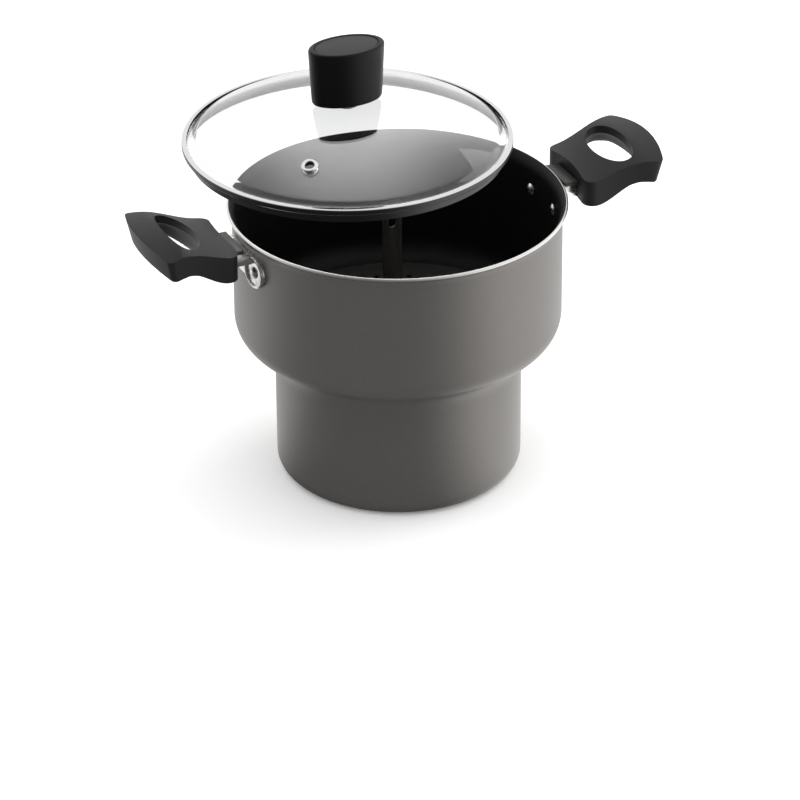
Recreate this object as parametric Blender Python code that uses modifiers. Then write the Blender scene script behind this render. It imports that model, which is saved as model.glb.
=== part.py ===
"""Couscous steamer: a stepped pot with two side grips, a perforated plate on a strap stem and a glass lid.

Metres, +Z up. The pot's axis is Z, its base stands on z = 0 and its grips lie along X.
The lid is shown lifted off the rim and drawn to one side.
"""

import math

import bmesh
import bpy
from mathutils import Matrix, Vector

# Fits and facets
GAP = 0.0003
ROUND_STEPS = 48
OVAL_STEPS = 32
WASHER_STEPS = 16
SMALL_STEPS = 12
MERGE = 0.00001

# Pot
POT_HEIGHT = 0.177
WALL_RADIUS = 0.0995
WALL = 0.0019
FLARE_RADIUS = 0.0106
FLARE_SWEEP = 52.0
LOWER_RADIUS = 0.0752
SHOULDER_TOP = 0.1065
SHOULDER_RADIUS = 0.0195
SHOULDER_SWEEP = 69.0
BASE_THICKNESS = 0.003
BASE_EDGE_RADIUS = 0.0095

# Steam plate and its stem
PLATE_SEAT_INSET = 0.0013
PLATE_THICKNESS = 0.0012
HOLE_RADIUS = 0.0019
HOLE_RING_PITCH = 0.0150
HOLE_RING_INNER = 0.022
HOLE_SPACING = 0.0195
HOLE_EDGE_MARGIN = 0.0070
STEM_WIDTH = 0.0125
STEM_THICKNESS = 0.0015
STEM_OFFSET = 0.0085
STEM_BELOW_RIM = 0.004
STEM_FOOT = 0.018
STEM_BEND = 0.003
STEM_CORNER = 0.0045
SLOT_WIDTH = 0.0049
SLOT_LENGTH = 0.0125
SLOT_BELOW_TOP = 0.0050
STEM_RIVET_SHANK = 0.0014
STEM_RIVET_HEAD = 0.0028
STEM_RIVET_RISE = 0.0010
STEM_RIVET_SPACING = 0.0075

# Lid
LID_SEAT_OVERLAP = 0.0007
RING_SHEET = 0.0004
RING_BEND = 0.0003
LIP_WIDTH = 0.0030
SKIRT_DEPTH = 0.0055
SKIRT_CLEARANCE = 0.0005
GLASS = 0.0026
GLASS_EDGE_WIDTH = 0.0036
GLASS_STEP_WIDTH = 0.0051
GLASS_STEP_HEIGHT = 0.0035
DOME_HEIGHT = 0.0271
KNOB_SEAT_RADIUS = 0.0125
LID_DRAWN = 0.0319
LID_LIFTED = 0.0495
VENT_FROM_EDGE = 0.0287
VENT_ANGLE = -131.6
VENT_BORE = 0.0026
VENT_TUBE = 0.0034
VENT_FLANGE = 0.0052
VENT_FLANGE_THICKNESS = 0.0009
VENT_SEAT_GAP = 0.00045

# Lid knob and its fixing
KNOB_HALF_LENGTH = 0.0236
KNOB_HALF_WIDTH = 0.01465
KNOB_HEIGHT = 0.0341
KNOB_TAPER = 0.93
KNOB_ROUND = 0.0015
DISC_HALF_LENGTH = 0.02005
DISC_HALF_WIDTH = 0.0128
DISC_THICKNESS = 0.0012
DISC_SUNK = 0.0003
GASKET_RADIUS = 0.0105
GASKET_THICKNESS = 0.0012
WASHER_RADIUS = 0.0090
WASHER_THICKNESS = 0.0010
KNOB_SCREW_RADIUS = 0.0016
KNOB_SCREW_HEAD = 0.0045
KNOB_SCREW_HEAD_HEIGHT = 0.0025
KNOB_SCREW_GRIP = 0.0100
INSERT_RADIUS = 0.0042
INSERT_LENGTH = 0.0120

# Handle brackets and rivets
RIVET_BELOW_RIM = 0.0195
RIVET_HALF_SPACING = 0.0157
RIVET_SHANK = 0.0022
RIVET_HEAD = 0.0037
RIVET_HEAD_RISE = 0.0016
EAR_RADIUS = 0.0098
EAR_THICKNESS = 0.0018
EAR_BRIDGE_DROP = 0.0055
SADDLE_MARGIN = 0.0050
NECK_WIDTH = 0.0260
NECK_WALL = 0.0020
NECK_TOP_BELOW_RIM = 0.0055
NECK_BOTTOM_BELOW_RIM = 0.0152
NECK_RIM_CLEARANCE = 0.0012
NECK_SLOPE = 0.0014
NECK_ROOT_SUNK = 0.0013
TONGUE_WIDTH = 0.0140
TONGUE_THICKNESS = 0.0025
TONGUE_LENGTH = 0.0120
TONGUE_CORNER = 0.0020
TONGUE_BELOW_RIM = 0.0095
COVER_SHEET = 0.0008
COVER_SIDE = 0.0015
COVER_CHAMFER = 0.0005

# Grips
GRIP_STANDOFF = 0.0135
GRIP_LENGTH = 0.0545
GRIP_INNER_HALF = 0.0288
GRIP_OUTER_HALF = 0.0365
GRIP_OUTER_BULGE = 0.0070
GRIP_OUTER_DRAFT = 0.0030
GRIP_SIDE_DRAFT = 0.05
GRIP_INNER_DISH = 0.0020
GRIP_SHOULDER_ROUND = 0.0065
GRIP_CORNER_ROUND = 0.0030
GRIP_TOP_INNER = 0.0010
GRIP_TOP_OUTER = 0.0085
GRIP_TOP_CLIMB = (0.003, 0.033)
GRIP_BOTTOM_INNER = -0.0160
GRIP_BOTTOM_OUTER = -0.0050
GRIP_BOTTOM_CLIMB = (0.0065, 0.036)
GRIP_EDGE_ROUND = 0.0024
GRIP_HOLE_FROM_INNER = 0.0300
GRIP_HOLE_HALF_WIDTH = 0.0102
GRIP_HOLE_HALF_LENGTH = 0.0250
GRIP_HOLE_BOW = 0.0015
GRIP_HOLE_END_POWER = 1.05
GRIP_HOLE_SIDE_POWER = 1.15
GRIP_HOLE_WALL = 0.0080
GRIP_UNDERCUT_SIDE = 0.0045
GRIP_UNDERCUT_END = 0.0055
GRIP_SCREW_RADIUS = 0.0017
GRIP_SCREW_HEAD = 0.0036
GRIP_SCREW_HEAD_HEIGHT = 0.0022
GRIP_SCREW_SUNK = 0.0010
GRIP_SCREW_REACH = 0.0045


# Scene


def clear_scene():
    for old in list(bpy.data.objects):
        bpy.data.objects.remove(old, do_unlink=True)


def new_collection(name):
    collection = bpy.data.collections.new(name)
    bpy.context.scene.collection.children.link(collection)
    return collection


def new_material(name, colour, roughness, metallic):
    material = bpy.data.materials.new(name)
    material.use_nodes = True
    shader = material.node_tree.nodes["Principled BSDF"]
    shader.inputs["Base Color"].default_value = (*colour, 1.0)
    shader.inputs["Roughness"].default_value = roughness
    shader.inputs["Metallic"].default_value = metallic
    return material


clear_scene()
STEAMER = new_collection("couscous_steamer")
CUTTERS = new_collection("cutters")
COATED = new_material("coated_aluminium", (0.085, 0.079, 0.073), 0.42, 0.6)
BAKELITE = new_material("bakelite", (0.055, 0.055, 0.055), 0.55, 0.0)
BARE_ALUMINIUM = new_material("bare_aluminium", (0.72, 0.72, 0.71), 0.30, 1.0)
STAINLESS = new_material("stainless_steel", (0.66, 0.66, 0.66), 0.18, 1.0)
DARK_METAL = new_material("dark_coated_metal", (0.040, 0.039, 0.036), 0.45, 0.3)
CLEAR_GLASS = new_material("tempered_glass", (0.90, 0.92, 0.92), 0.05, 0.0)
SILICONE = new_material("clear_silicone", (0.62, 0.62, 0.60), 0.60, 0.0)
BRASS = new_material("brass", (0.62, 0.45, 0.20), 0.35, 1.0)


# Shape helpers


def add_object(name, mesh, material, parent=None):
    """A part of the steamer, placed in its parent's frame."""
    obj = bpy.data.objects.new(name, mesh)
    STEAMER.objects.link(obj)
    mesh.materials.append(material)
    obj.parent = parent
    return obj


def add_cutter(name, mesh, parent=None):
    """A shape that only cuts or trims parts."""
    obj = bpy.data.objects.new(name, mesh)
    CUTTERS.objects.link(obj)
    obj.hide_render = True
    obj.display_type = "WIRE"
    obj.parent = parent
    return obj


def arc(centre, radius_x, radius_z, start, end, steps):
    """Points on an elliptic arc, by angle in degrees from +X towards +Z."""
    points = []
    for i in range(steps + 1):
        angle = math.radians(start + (end - start) * i / steps)
        points.append((centre[0] + radius_x * math.cos(angle), centre[1] + radius_z * math.sin(angle)))
    return points


def round_arc(centre, radius, start, end, steps):
    return arc(centre, radius, radius, start, end, steps)


def offset_path(points, distance):
    """The path moved sideways to its right by a distance, mitred at its corners."""
    moved = []
    last = len(points) - 1
    for i, (x, z) in enumerate(points):
        before = Vector(points[max(i - 1, 0)])
        here = Vector((x, z))
        after = Vector(points[min(i + 1, last)])
        first = (here - before) if i > 0 else (after - here)
        second = (after - here) if i < last else (here - before)
        first.normalize()
        second.normalize()
        normal = Vector((first.y, -first.x)) + Vector((second.y, -second.x))
        normal.normalize()
        stretch = 1.0 / max(normal.dot(Vector((first.y, -first.x))), 0.5)
        moved.append(tuple(here + normal * distance * stretch))
    return moved


def sheet_profile(points, thickness):
    """A closed profile of even thickness, whose outer side is the given path."""
    return points + list(reversed(offset_path(points, thickness)))


def turned_mesh(name, profile, closed):
    mesh = bpy.data.meshes.new(name)
    edges = [(i, i + 1) for i in range(len(profile) - 1)]
    if closed:
        edges.append((len(profile) - 1, 0))
    mesh.from_pydata([(x, 0.0, z) for x, z in profile], edges, [])
    return mesh


def turn(obj, steps):
    screw = obj.modifiers.new("turn", "SCREW")
    screw.axis = "Z"
    screw.angle = math.tau
    screw.steps = steps
    screw.render_steps = steps
    screw.use_merge_vertices = True
    screw.merge_threshold = MERGE
    screw.use_smooth_shade = True
    return obj


def turned_part(name, profile, material, closed, steps=ROUND_STEPS, parent=None):
    """A turned part, whose profile runs down its outer side."""
    return turn(add_object(name, turned_mesh(name, profile, closed), material, parent), steps)


def turned_cutter(name, profile, closed, steps=SMALL_STEPS, parent=None):
    return turn(add_cutter(name, turned_mesh(name, profile, closed), parent), steps)


def pin_profile(stations):
    """A solid pin's profile: (radius, height) stations from its top down."""
    return [(0.0, stations[0][1])] + stations + [(0.0, stations[-1][1])]


def rod_cutter(name, radius, bottom, top, parent=None, steps=SMALL_STEPS):
    return turned_cutter(name, pin_profile([(radius, top), (radius, bottom)]), False, steps, parent)


def outline_mesh(name, loops, half_thickness):
    """A flat outline in X and Y with its holes, thickened along Z."""
    curve = bpy.data.curves.new(name, "CURVE")
    curve.dimensions = "2D"
    curve.fill_mode = "BOTH"
    curve.extrude = half_thickness
    for loop in loops:
        spline = curve.splines.new("POLY")
        spline.points.add(len(loop) - 1)
        for point, (x, y) in zip(spline.points, loop):
            point.co = (x, y, 0.0, 1.0)
        spline.use_cyclic_u = True
    drawn = bpy.data.objects.new(name, curve)
    CUTTERS.objects.link(drawn)
    depsgraph = bpy.context.evaluated_depsgraph_get()
    mesh = bpy.data.meshes.new_from_object(drawn.evaluated_get(depsgraph))
    bpy.data.objects.remove(drawn, do_unlink=True)
    bm = bmesh.new()
    bm.from_mesh(mesh)
    bmesh.ops.remove_doubles(bm, verts=bm.verts, dist=MERGE)
    bmesh.ops.recalc_face_normals(bm, faces=bm.faces)
    bm.to_mesh(mesh)
    bm.free()
    return mesh


def rounded_outline(corners, steps):
    """A closed outline of straight sides, each corner (x, y, radius) rounded by an arc."""
    outline = []
    count = len(corners)
    for i, (x, y, radius) in enumerate(corners):
        here = Vector((x, y))
        if radius <= 0.0:
            outline.append((x, y))
            continue
        back = Vector(corners[i - 1][:2]) - here
        on = Vector(corners[(i + 1) % count][:2]) - here
        half = back.angle(on) / 2.0
        reach = radius / math.tan(half)
        start = here + back.normalized() * reach
        end = here + on.normalized() * reach
        centre = here + (back.normalized() + on.normalized()).normalized() * (radius / math.sin(half))
        first = start - centre
        turn_angle = first.angle_signed(end - centre)
        for k in range(steps + 1):
            spoke = first.copy()
            spoke.rotate(Matrix.Rotation(-turn_angle * k / steps, 2))
            outline.append(tuple(centre + spoke))
    return outline


def stadium(half_length, radius, steps):
    """A slot's outline, its length along X."""
    run = half_length - radius
    right = arc((run, 0.0), radius, radius, -90.0, 90.0, steps)
    left = arc((-run, 0.0), radius, radius, 90.0, 270.0, steps)
    return right + left


def boolean(obj, other, operation):
    modifier = obj.modifiers.new(f"{operation.lower()}_{other.name}"[:60], "BOOLEAN")
    modifier.operation = operation
    modifier.solver = "EXACT"
    modifier.object = other
    return obj


def cut(obj, other):
    return boolean(obj, other, "DIFFERENCE")


def trim(obj, other):
    return boolean(obj, other, "INTERSECT")


def join(obj, other):
    return boolean(obj, other, "UNION")


def blend(value, start, end):
    """0 before start, 1 after end, eased between them."""
    share = min(max((value - start) / (end - start), 0.0), 1.0)
    return (1.0 - math.cos(math.pi * share)) / 2.0


SIDE_VIEW = Matrix.Rotation(math.radians(90.0), 4, "X")
END_VIEW = Matrix(((0, 0, 1, 0), (1, 0, 0, 0), (0, 1, 0, 0), (0, 0, 0, 1)))


# Pot: one drawn shell, wide above and narrow below, with a flared rim


WALL_INNER = WALL_RADIUS - WALL
FLARE_HEIGHT = FLARE_RADIUS * math.sin(math.radians(FLARE_SWEEP))
FLARE_CENTRE = (WALL_INNER + FLARE_RADIUS, POT_HEIGHT - FLARE_HEIGHT)
FLARE_OUTER = FLARE_RADIUS - WALL
RIM_RADIUS = FLARE_CENTRE[0] - FLARE_OUTER * math.cos(math.radians(FLARE_SWEEP))
SWEEP = math.radians(SHOULDER_SWEEP)
SHOULDER_CENTRE = (WALL_RADIUS - SHOULDER_RADIUS, SHOULDER_TOP)
WAIST_RADIUS = (WALL_RADIUS - LOWER_RADIUS) / (1.0 - math.cos(SWEEP)) - SHOULDER_RADIUS
WAIST_CENTRE = (
    LOWER_RADIUS + WAIST_RADIUS,
    SHOULDER_TOP - (SHOULDER_RADIUS + WAIST_RADIUS) * math.sin(SWEEP),
)
WAIST_INNER = WAIST_RADIUS + WALL
SHOULDER_STEPS = 4
BASE_STEPS = 3
FLARE_STEPS = 3


def pot_profile():
    """From the floor's centre up the inside, over the rim and down the outside."""
    base_centre = (LOWER_RADIUS - BASE_EDGE_RADIUS, BASE_EDGE_RADIUS)
    inner_edge = arc(
        base_centre, BASE_EDGE_RADIUS - WALL, BASE_EDGE_RADIUS - BASE_THICKNESS, -90.0, 0.0, BASE_STEPS
    )
    inner_waist = round_arc(WAIST_CENTRE, WAIST_INNER, 180.0, 180.0 - SHOULDER_SWEEP, SHOULDER_STEPS)
    inner_shoulder = round_arc(
        SHOULDER_CENTRE, SHOULDER_RADIUS - WALL, -SHOULDER_SWEEP, 0.0, SHOULDER_STEPS
    )
    inner_flare = round_arc(FLARE_CENTRE, FLARE_RADIUS, 180.0, 180.0 - FLARE_SWEEP, FLARE_STEPS)
    outer_flare = round_arc(FLARE_CENTRE, FLARE_OUTER, 180.0 - FLARE_SWEEP, 180.0, FLARE_STEPS)
    outer_shoulder = round_arc(SHOULDER_CENTRE, SHOULDER_RADIUS, 0.0, -SHOULDER_SWEEP, SHOULDER_STEPS)
    outer_waist = round_arc(WAIST_CENTRE, WAIST_RADIUS, 180.0 - SHOULDER_SWEEP, 180.0, SHOULDER_STEPS)
    outer_edge = round_arc(base_centre, BASE_EDGE_RADIUS, 0.0, -90.0, BASE_STEPS)
    inside = [(0.0, BASE_THICKNESS)] + inner_edge + inner_waist + inner_shoulder[1:] + inner_flare
    outside = outer_flare + outer_shoulder + outer_waist[1:] + outer_edge + [(0.0, 0.0)]
    return inside + outside


pot_body = turned_part("pot_body", pot_profile(), COATED, closed=False)


# Steam plate: a perforated disc that rests on the pot's inner shoulder, with a strap stem to lift it by


def seat_height(radius):
    """Height at which a corner of this radius rests just clear of the inner waist."""
    across = WAIST_CENTRE[0] - radius
    reach = WAIST_INNER + GAP
    return WAIST_CENTRE[1] + math.sqrt(max(reach**2 - across**2, 0.0))


PLATE_RADIUS = SHOULDER_CENTRE[0] + (SHOULDER_RADIUS - WALL) * math.cos(SWEEP) - PLATE_SEAT_INSET
PLATE_Z = seat_height(PLATE_RADIUS)
plate_frame = bpy.data.objects.new("plate_frame", None)
STEAMER.objects.link(plate_frame)
plate_frame.location = (0.0, 0.0, PLATE_Z)


def circle(x, y, radius, steps):
    return round_arc((x, y), radius, 0.0, 360.0, steps)[:-1]


def plate_holes():
    """Ring by ring out to the plate's margin, the outlines of its holes."""
    holes = []
    ring = 0
    radius = HOLE_RING_INNER
    while radius + HOLE_RADIUS < PLATE_RADIUS - HOLE_EDGE_MARGIN:
        count = int(math.tau * radius / HOLE_SPACING)
        for i in range(count):
            angle = math.tau * (i + 0.5 * (ring % 2)) / count
            holes.append(circle(radius * math.cos(angle), radius * math.sin(angle), HOLE_RADIUS, 6))
        ring += 1
        radius = HOLE_RING_INNER + ring * HOLE_RING_PITCH
    return holes


def stem_rivet_places():
    """Centres along Y of the rivets in the stem's foot."""
    foot_end = STEM_OFFSET - STEM_FOOT
    middle = (STEM_OFFSET - STEM_THICKNESS - STEM_BEND + foot_end) / 2.0
    return {"front": middle - STEM_RIVET_SPACING / 2.0, "rear": middle + STEM_RIVET_SPACING / 2.0}


def plate_part():
    """A flat disc with its steam holes and the bores of the stem's rivets."""
    loops = [circle(0.0, 0.0, PLATE_RADIUS, ROUND_STEPS)] + plate_holes()
    for y in stem_rivet_places().values():
        loops.append(circle(0.0, y, STEM_RIVET_SHANK + GAP, SMALL_STEPS))
    mesh = outline_mesh("steam_plate", loops, PLATE_THICKNESS / 2.0)
    plate = add_object("steam_plate", mesh, DARK_METAL, plate_frame)
    plate.location = (0.0, 0.0, PLATE_THICKNESS / 2.0)
    return plate


plate_part()

STEM_FOOT_Z = PLATE_THICKNESS + GAP
STEM_TOP_Z = POT_HEIGHT - STEM_BELOW_RIM - PLATE_Z


def stem_part():
    """An L-shaped strap: a foot on the plate and an upright with a slot near its rounded top."""
    outer_bend = STEM_BEND + STEM_THICKNESS
    corner_y = STEM_OFFSET - outer_bend
    foot_end = STEM_OFFSET - STEM_FOOT
    path = [(foot_end, STEM_FOOT_Z)]
    path += round_arc((corner_y, STEM_FOOT_Z + outer_bend), outer_bend, -90.0, 0.0, 4)
    path += [(STEM_OFFSET, STEM_TOP_Z)]
    back = [(STEM_OFFSET - STEM_THICKNESS, STEM_TOP_Z)]
    back += round_arc((corner_y, STEM_FOOT_Z + outer_bend), STEM_BEND, 0.0, -90.0, 4)
    back += [(foot_end, STEM_FOOT_Z + STEM_THICKNESS)]
    strap = add_object(
        "plate_stem", outline_mesh("plate_stem", [path + back], STEM_WIDTH / 2.0), DARK_METAL, plate_frame
    )
    strap.matrix_local = END_VIEW
    half = STEM_WIDTH / 2.0
    top_shape = rounded_outline(
        [
            (-half, STEM_FOOT_Z - STEM_FOOT, 0.0),
            (half, STEM_FOOT_Z - STEM_FOOT, 0.0),
            (half, STEM_TOP_Z, STEM_CORNER),
            (-half, STEM_TOP_Z, STEM_CORNER),
        ],
        5,
    )
    blank = add_cutter(
        "stem_blank", outline_mesh("stem_blank", [top_shape], STEM_FOOT * 2.0), plate_frame
    )
    blank.matrix_local = SIDE_VIEW
    trim(strap, blank)
    slot = add_cutter(
        "stem_slot",
        outline_mesh("stem_slot", [stadium(SLOT_LENGTH / 2.0, SLOT_WIDTH / 2.0, 5)], STEM_THICKNESS * 2.0),
        plate_frame,
    )
    slot_z = STEM_TOP_Z - SLOT_BELOW_TOP - SLOT_LENGTH / 2.0
    stand_up = Matrix.Rotation(math.radians(90.0), 4, "Z")
    place = Matrix.Translation((0.0, STEM_OFFSET - STEM_THICKNESS / 2.0, slot_z))
    slot.matrix_local = place @ SIDE_VIEW @ stand_up
    cut(strap, slot)
    return strap


def stem_rivet(side, y):
    """A small rivet through the foot and the plate, headed on both faces."""
    top = STEM_FOOT_Z + STEM_THICKNESS + GAP
    stations = [
        (STEM_RIVET_HEAD * 0.6, top + STEM_RIVET_RISE),
        (STEM_RIVET_HEAD, top + STEM_RIVET_RISE * 0.45),
        (STEM_RIVET_HEAD, top),
        (STEM_RIVET_SHANK, top),
        (STEM_RIVET_SHANK, -GAP),
        (STEM_RIVET_HEAD, -GAP),
        (STEM_RIVET_HEAD * 0.8, -GAP - STEM_RIVET_RISE * 0.6),
    ]
    rivet = turned_part(
        f"stem_rivet_{side}", pin_profile(stations), BARE_ALUMINIUM, False, SMALL_STEPS, plate_frame
    )
    rivet.location = (0.0, y, 0.0)
    bore = rod_cutter(
        f"stem_rivet_bore_{side}", STEM_RIVET_SHANK + GAP, -STEM_FOOT_Z, top + STEM_THICKNESS, plate_frame
    )
    bore.location = (0.0, y, 0.0)
    return bore


plate_stem = stem_part()
for rivet_side, rivet_y in stem_rivet_places().items():
    cut(plate_stem, stem_rivet(rivet_side, rivet_y))


# Lid: a domed glass in a steel ring, with a vent eyelet and a knob on a screw


def lid_seat_height():
    """Height of the closed ring's underside, where its lower edge rests just clear of the flare."""
    reach = FLARE_RADIUS + GAP
    across = FLARE_CENTRE[0] - LID_RADIUS
    rise = math.sqrt(max(reach**2 - across**2, 0.0))
    return FLARE_CENTRE[1] + rise - RING_BEND


LID_RADIUS = WALL_INNER + LID_SEAT_OVERLAP
LID_SEAT_Z = lid_seat_height()
LID_SLOPE = LID_DRAWN / LID_LIFTED


def skirt_radius():
    """The widest skirt whose lower edge clears the flare as the lid is drawn off at its slope."""
    lean = math.atan(LID_SLOPE)
    narrowing = FLARE_RADIUS * (1.0 / math.cos(lean) - 1.0)
    depth = FLARE_CENTRE[1] - (LID_SEAT_Z - SKIRT_DEPTH)
    return WALL_INNER - narrowing - LID_SLOPE * depth - SKIRT_CLEARANCE


SKIRT_RADIUS = skirt_radius()
lid_frame = bpy.data.objects.new("lid_frame", None)
STEAMER.objects.link(lid_frame)
lid_frame.location = (-LID_DRAWN, 0.0, LID_SEAT_Z + LID_LIFTED)

GLASS_BOTTOM = RING_SHEET + GAP
GLASS_TOP = GLASS_BOTTOM + GLASS
RING_HEIGHT = GLASS_TOP + GAP + RING_SHEET
STEP_TOP = GLASS_TOP + GLASS_STEP_HEIGHT
GLASS_STEP_OUTER = LID_RADIUS - GLASS_EDGE_WIDTH
GLASS_STEP_INNER = GLASS_STEP_OUTER - GLASS_STEP_WIDTH
DOME_SAG = DOME_HEIGHT - STEP_TOP
DOME_SPAN = GLASS_STEP_INNER - KNOB_SEAT_RADIUS
DOME_RADIUS = (DOME_SPAN**2 + DOME_SAG**2) / (2.0 * DOME_SAG)
DOME_STEPS = 4
STEP_CURVE = ((0.45, 0.52), (0.78, 0.14))
VENT_DISTANCE = LID_RADIUS - VENT_FROM_EDGE


def dome_height(radius):
    """Height of the glass's upper face at a radius between the knob seat and the step."""
    along = radius - KNOB_SEAT_RADIUS
    return DOME_HEIGHT - DOME_RADIUS + math.sqrt(DOME_RADIUS**2 - along**2)


def ring_profile():
    """The rolled ring: lip over the glass, hem round its edge, shelf below it, and skirt."""
    hem = [
        (LID_RADIUS - LIP_WIDTH, RING_HEIGHT),
        (LID_RADIUS - RING_BEND, RING_HEIGHT),
        (LID_RADIUS, RING_HEIGHT - RING_BEND),
        (LID_RADIUS, RING_BEND),
        (LID_RADIUS - RING_BEND, 0.0),
        (SKIRT_RADIUS + RING_BEND, 0.0),
        (SKIRT_RADIUS, -RING_BEND),
        (SKIRT_RADIUS, -SKIRT_DEPTH),
    ]
    inner_edge = LID_RADIUS - RING_SHEET
    inside = [
        (SKIRT_RADIUS - RING_SHEET, -SKIRT_DEPTH),
        (SKIRT_RADIUS - RING_SHEET, RING_SHEET),
        (inner_edge, RING_SHEET),
        (inner_edge, RING_HEIGHT - RING_SHEET),
        (LID_RADIUS - LIP_WIDTH, RING_HEIGHT - RING_SHEET),
    ]
    return hem + inside


def glass_profile():
    """The glass's upper face from its centre bore out to its edge, and back below."""
    bore = KNOB_SCREW_RADIUS + 4.0 * GAP
    top = [(bore, DOME_HEIGHT), (KNOB_SEAT_RADIUS, DOME_HEIGHT)]
    for i in range(1, DOME_STEPS + 1):
        radius = KNOB_SEAT_RADIUS + DOME_SPAN * i / DOME_STEPS
        top.append((radius, dome_height(radius)))
    for out, up in STEP_CURVE:
        top.append((GLASS_STEP_INNER + GLASS_STEP_WIDTH * out, GLASS_TOP + GLASS_STEP_HEIGHT * up))
    top.append((GLASS_STEP_OUTER, GLASS_TOP))
    top.append((LID_RADIUS - RING_SHEET - GAP, GLASS_TOP))
    return sheet_profile(top, GLASS)


lid_ring = turned_part("lid_rim", ring_profile(), STAINLESS, closed=True, parent=lid_frame)
lid_glass = turned_part("lid_glass", glass_profile(), CLEAR_GLASS, closed=True, parent=lid_frame)


def vent_eyelet():
    """A flanged eyelet pressed into the glass, square to the dome."""
    along = VENT_DISTANCE - KNOB_SEAT_RADIUS
    lean = math.asin(along / DOME_RADIUS)
    spin = Matrix.Rotation(math.radians(VENT_ANGLE), 4, "Z")
    place = Matrix.Translation((VENT_DISTANCE, 0.0, dome_height(VENT_DISTANCE)))
    tilt = Matrix.Rotation(lean, 4, "Y")
    frame = spin @ place @ tilt
    top = VENT_SEAT_GAP
    below = -GLASS - VENT_SEAT_GAP
    profile = [
        (VENT_BORE, top + VENT_FLANGE_THICKNESS),
        (VENT_FLANGE * 0.85, top + VENT_FLANGE_THICKNESS),
        (VENT_FLANGE, top + VENT_FLANGE_THICKNESS * 0.4),
        (VENT_FLANGE, top),
        (VENT_TUBE, top),
        (VENT_TUBE, below),
        (VENT_FLANGE * 0.92, below),
        (VENT_FLANGE * 0.92, below - VENT_FLANGE_THICKNESS),
        (VENT_BORE, below - VENT_FLANGE_THICKNESS),
    ]
    eyelet = turned_part("vent_eyelet", profile, STAINLESS, True, SMALL_STEPS, lid_frame)
    eyelet.matrix_local = frame
    bore = rod_cutter("vent_bore", VENT_TUBE + GAP, -GLASS * 2.0, GLASS, lid_frame)
    bore.matrix_local = frame
    cut(lid_glass, bore)
    return eyelet


vent_eyelet()

KNOB_Z = DOME_HEIGHT + GASKET_THICKNESS + 2.0 * GAP
RECESS_DEPTH = DISC_THICKNESS + DISC_SUNK
WASHER_TOP = DOME_HEIGHT - GLASS - 2.0 * GAP - GASKET_THICKNESS - GAP
SCREW_SEAT = WASHER_TOP - WASHER_THICKNESS - GAP


def flatten(obj, half_length, half_width):
    """Makes a turned shape oval by narrowing it across the knob."""
    obj.scale = (1.0, half_width / half_length, 1.0)
    return obj


def lid_knob():
    """A flat-sided oval knob, a little wider at its top, with a recess for its disc."""
    foot = KNOB_HALF_LENGTH * KNOB_TAPER
    profile = [(0.0, KNOB_HEIGHT)]
    profile += round_arc(
        (KNOB_HALF_LENGTH - KNOB_ROUND, KNOB_HEIGHT - KNOB_ROUND), KNOB_ROUND, 90.0, 0.0, 2
    )
    profile += [(foot, KNOB_ROUND), (foot - KNOB_ROUND * 0.6, 0.0), (0.0, 0.0)]
    knob = turned_part("lid_knob", profile, BAKELITE, False, OVAL_STEPS, lid_frame)
    knob.location = (0.0, 0.0, KNOB_Z)
    flatten(knob, KNOB_HALF_LENGTH, KNOB_HALF_WIDTH)
    recess = turned_cutter(
        "knob_recess",
        pin_profile(
            [
                (DISC_HALF_LENGTH, KNOB_HEIGHT + RECESS_DEPTH),
                (DISC_HALF_LENGTH, KNOB_HEIGHT - RECESS_DEPTH),
            ]
        ),
        False,
        OVAL_STEPS,
        lid_frame,
    )
    recess.location = knob.location
    flatten(recess, DISC_HALF_LENGTH, DISC_HALF_WIDTH)
    cut(knob, recess)
    bore = rod_cutter("insert_bore", INSERT_RADIUS + GAP, -RECESS_DEPTH, INSERT_LENGTH + GAP, lid_frame)
    bore.location = knob.location
    cut(knob, bore)
    return knob


def knob_disc():
    """The thin oval disc set into the knob's top."""
    length = DISC_HALF_LENGTH - GAP
    base = KNOB_HEIGHT - RECESS_DEPTH + GAP
    profile = pin_profile([(length, base + DISC_THICKNESS - GAP), (length, base)])
    disc = turned_part("knob_disc", profile, BAKELITE, False, OVAL_STEPS, lid_frame)
    disc.location = (0.0, 0.0, KNOB_Z)
    return flatten(disc, length, DISC_HALF_WIDTH - GAP)


def washer(name, radius, bore, top, thickness, material):
    profile = [(radius, top), (radius, top - thickness), (bore, top - thickness), (bore, top)]
    return turned_part(name, profile, material, True, WASHER_STEPS, lid_frame)


def knob_screw():
    """The screw from under the glass up into the knob's insert."""
    stations = [
        (KNOB_SCREW_RADIUS, KNOB_Z + KNOB_SCREW_GRIP),
        (KNOB_SCREW_RADIUS, SCREW_SEAT),
        (KNOB_SCREW_HEAD, SCREW_SEAT),
        (KNOB_SCREW_HEAD, SCREW_SEAT - KNOB_SCREW_HEAD_HEIGHT * 0.5),
        (KNOB_SCREW_HEAD * 0.65, SCREW_SEAT - KNOB_SCREW_HEAD_HEIGHT),
    ]
    return turned_part("knob_screw", pin_profile(stations), STAINLESS, False, SMALL_STEPS, lid_frame)


lid_knob()
knob_disc()
knob_screw()
SCREW_BORE = KNOB_SCREW_RADIUS + GAP
washer("knob_insert", INSERT_RADIUS, SCREW_BORE, KNOB_Z + INSERT_LENGTH, INSERT_LENGTH, BRASS)
washer("knob_gasket_upper", GASKET_RADIUS, SCREW_BORE, KNOB_Z - GAP, GASKET_THICKNESS, SILICONE)
washer(
    "knob_gasket_lower",
    GASKET_RADIUS - 2.0 * GAP,
    SCREW_BORE,
    DOME_HEIGHT - GLASS - GAP,
    GASKET_THICKNESS,
    SILICONE,
)
washer("knob_washer", WASHER_RADIUS, SCREW_BORE, WASHER_TOP, WASHER_THICKNESS, STAINLESS)


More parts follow.
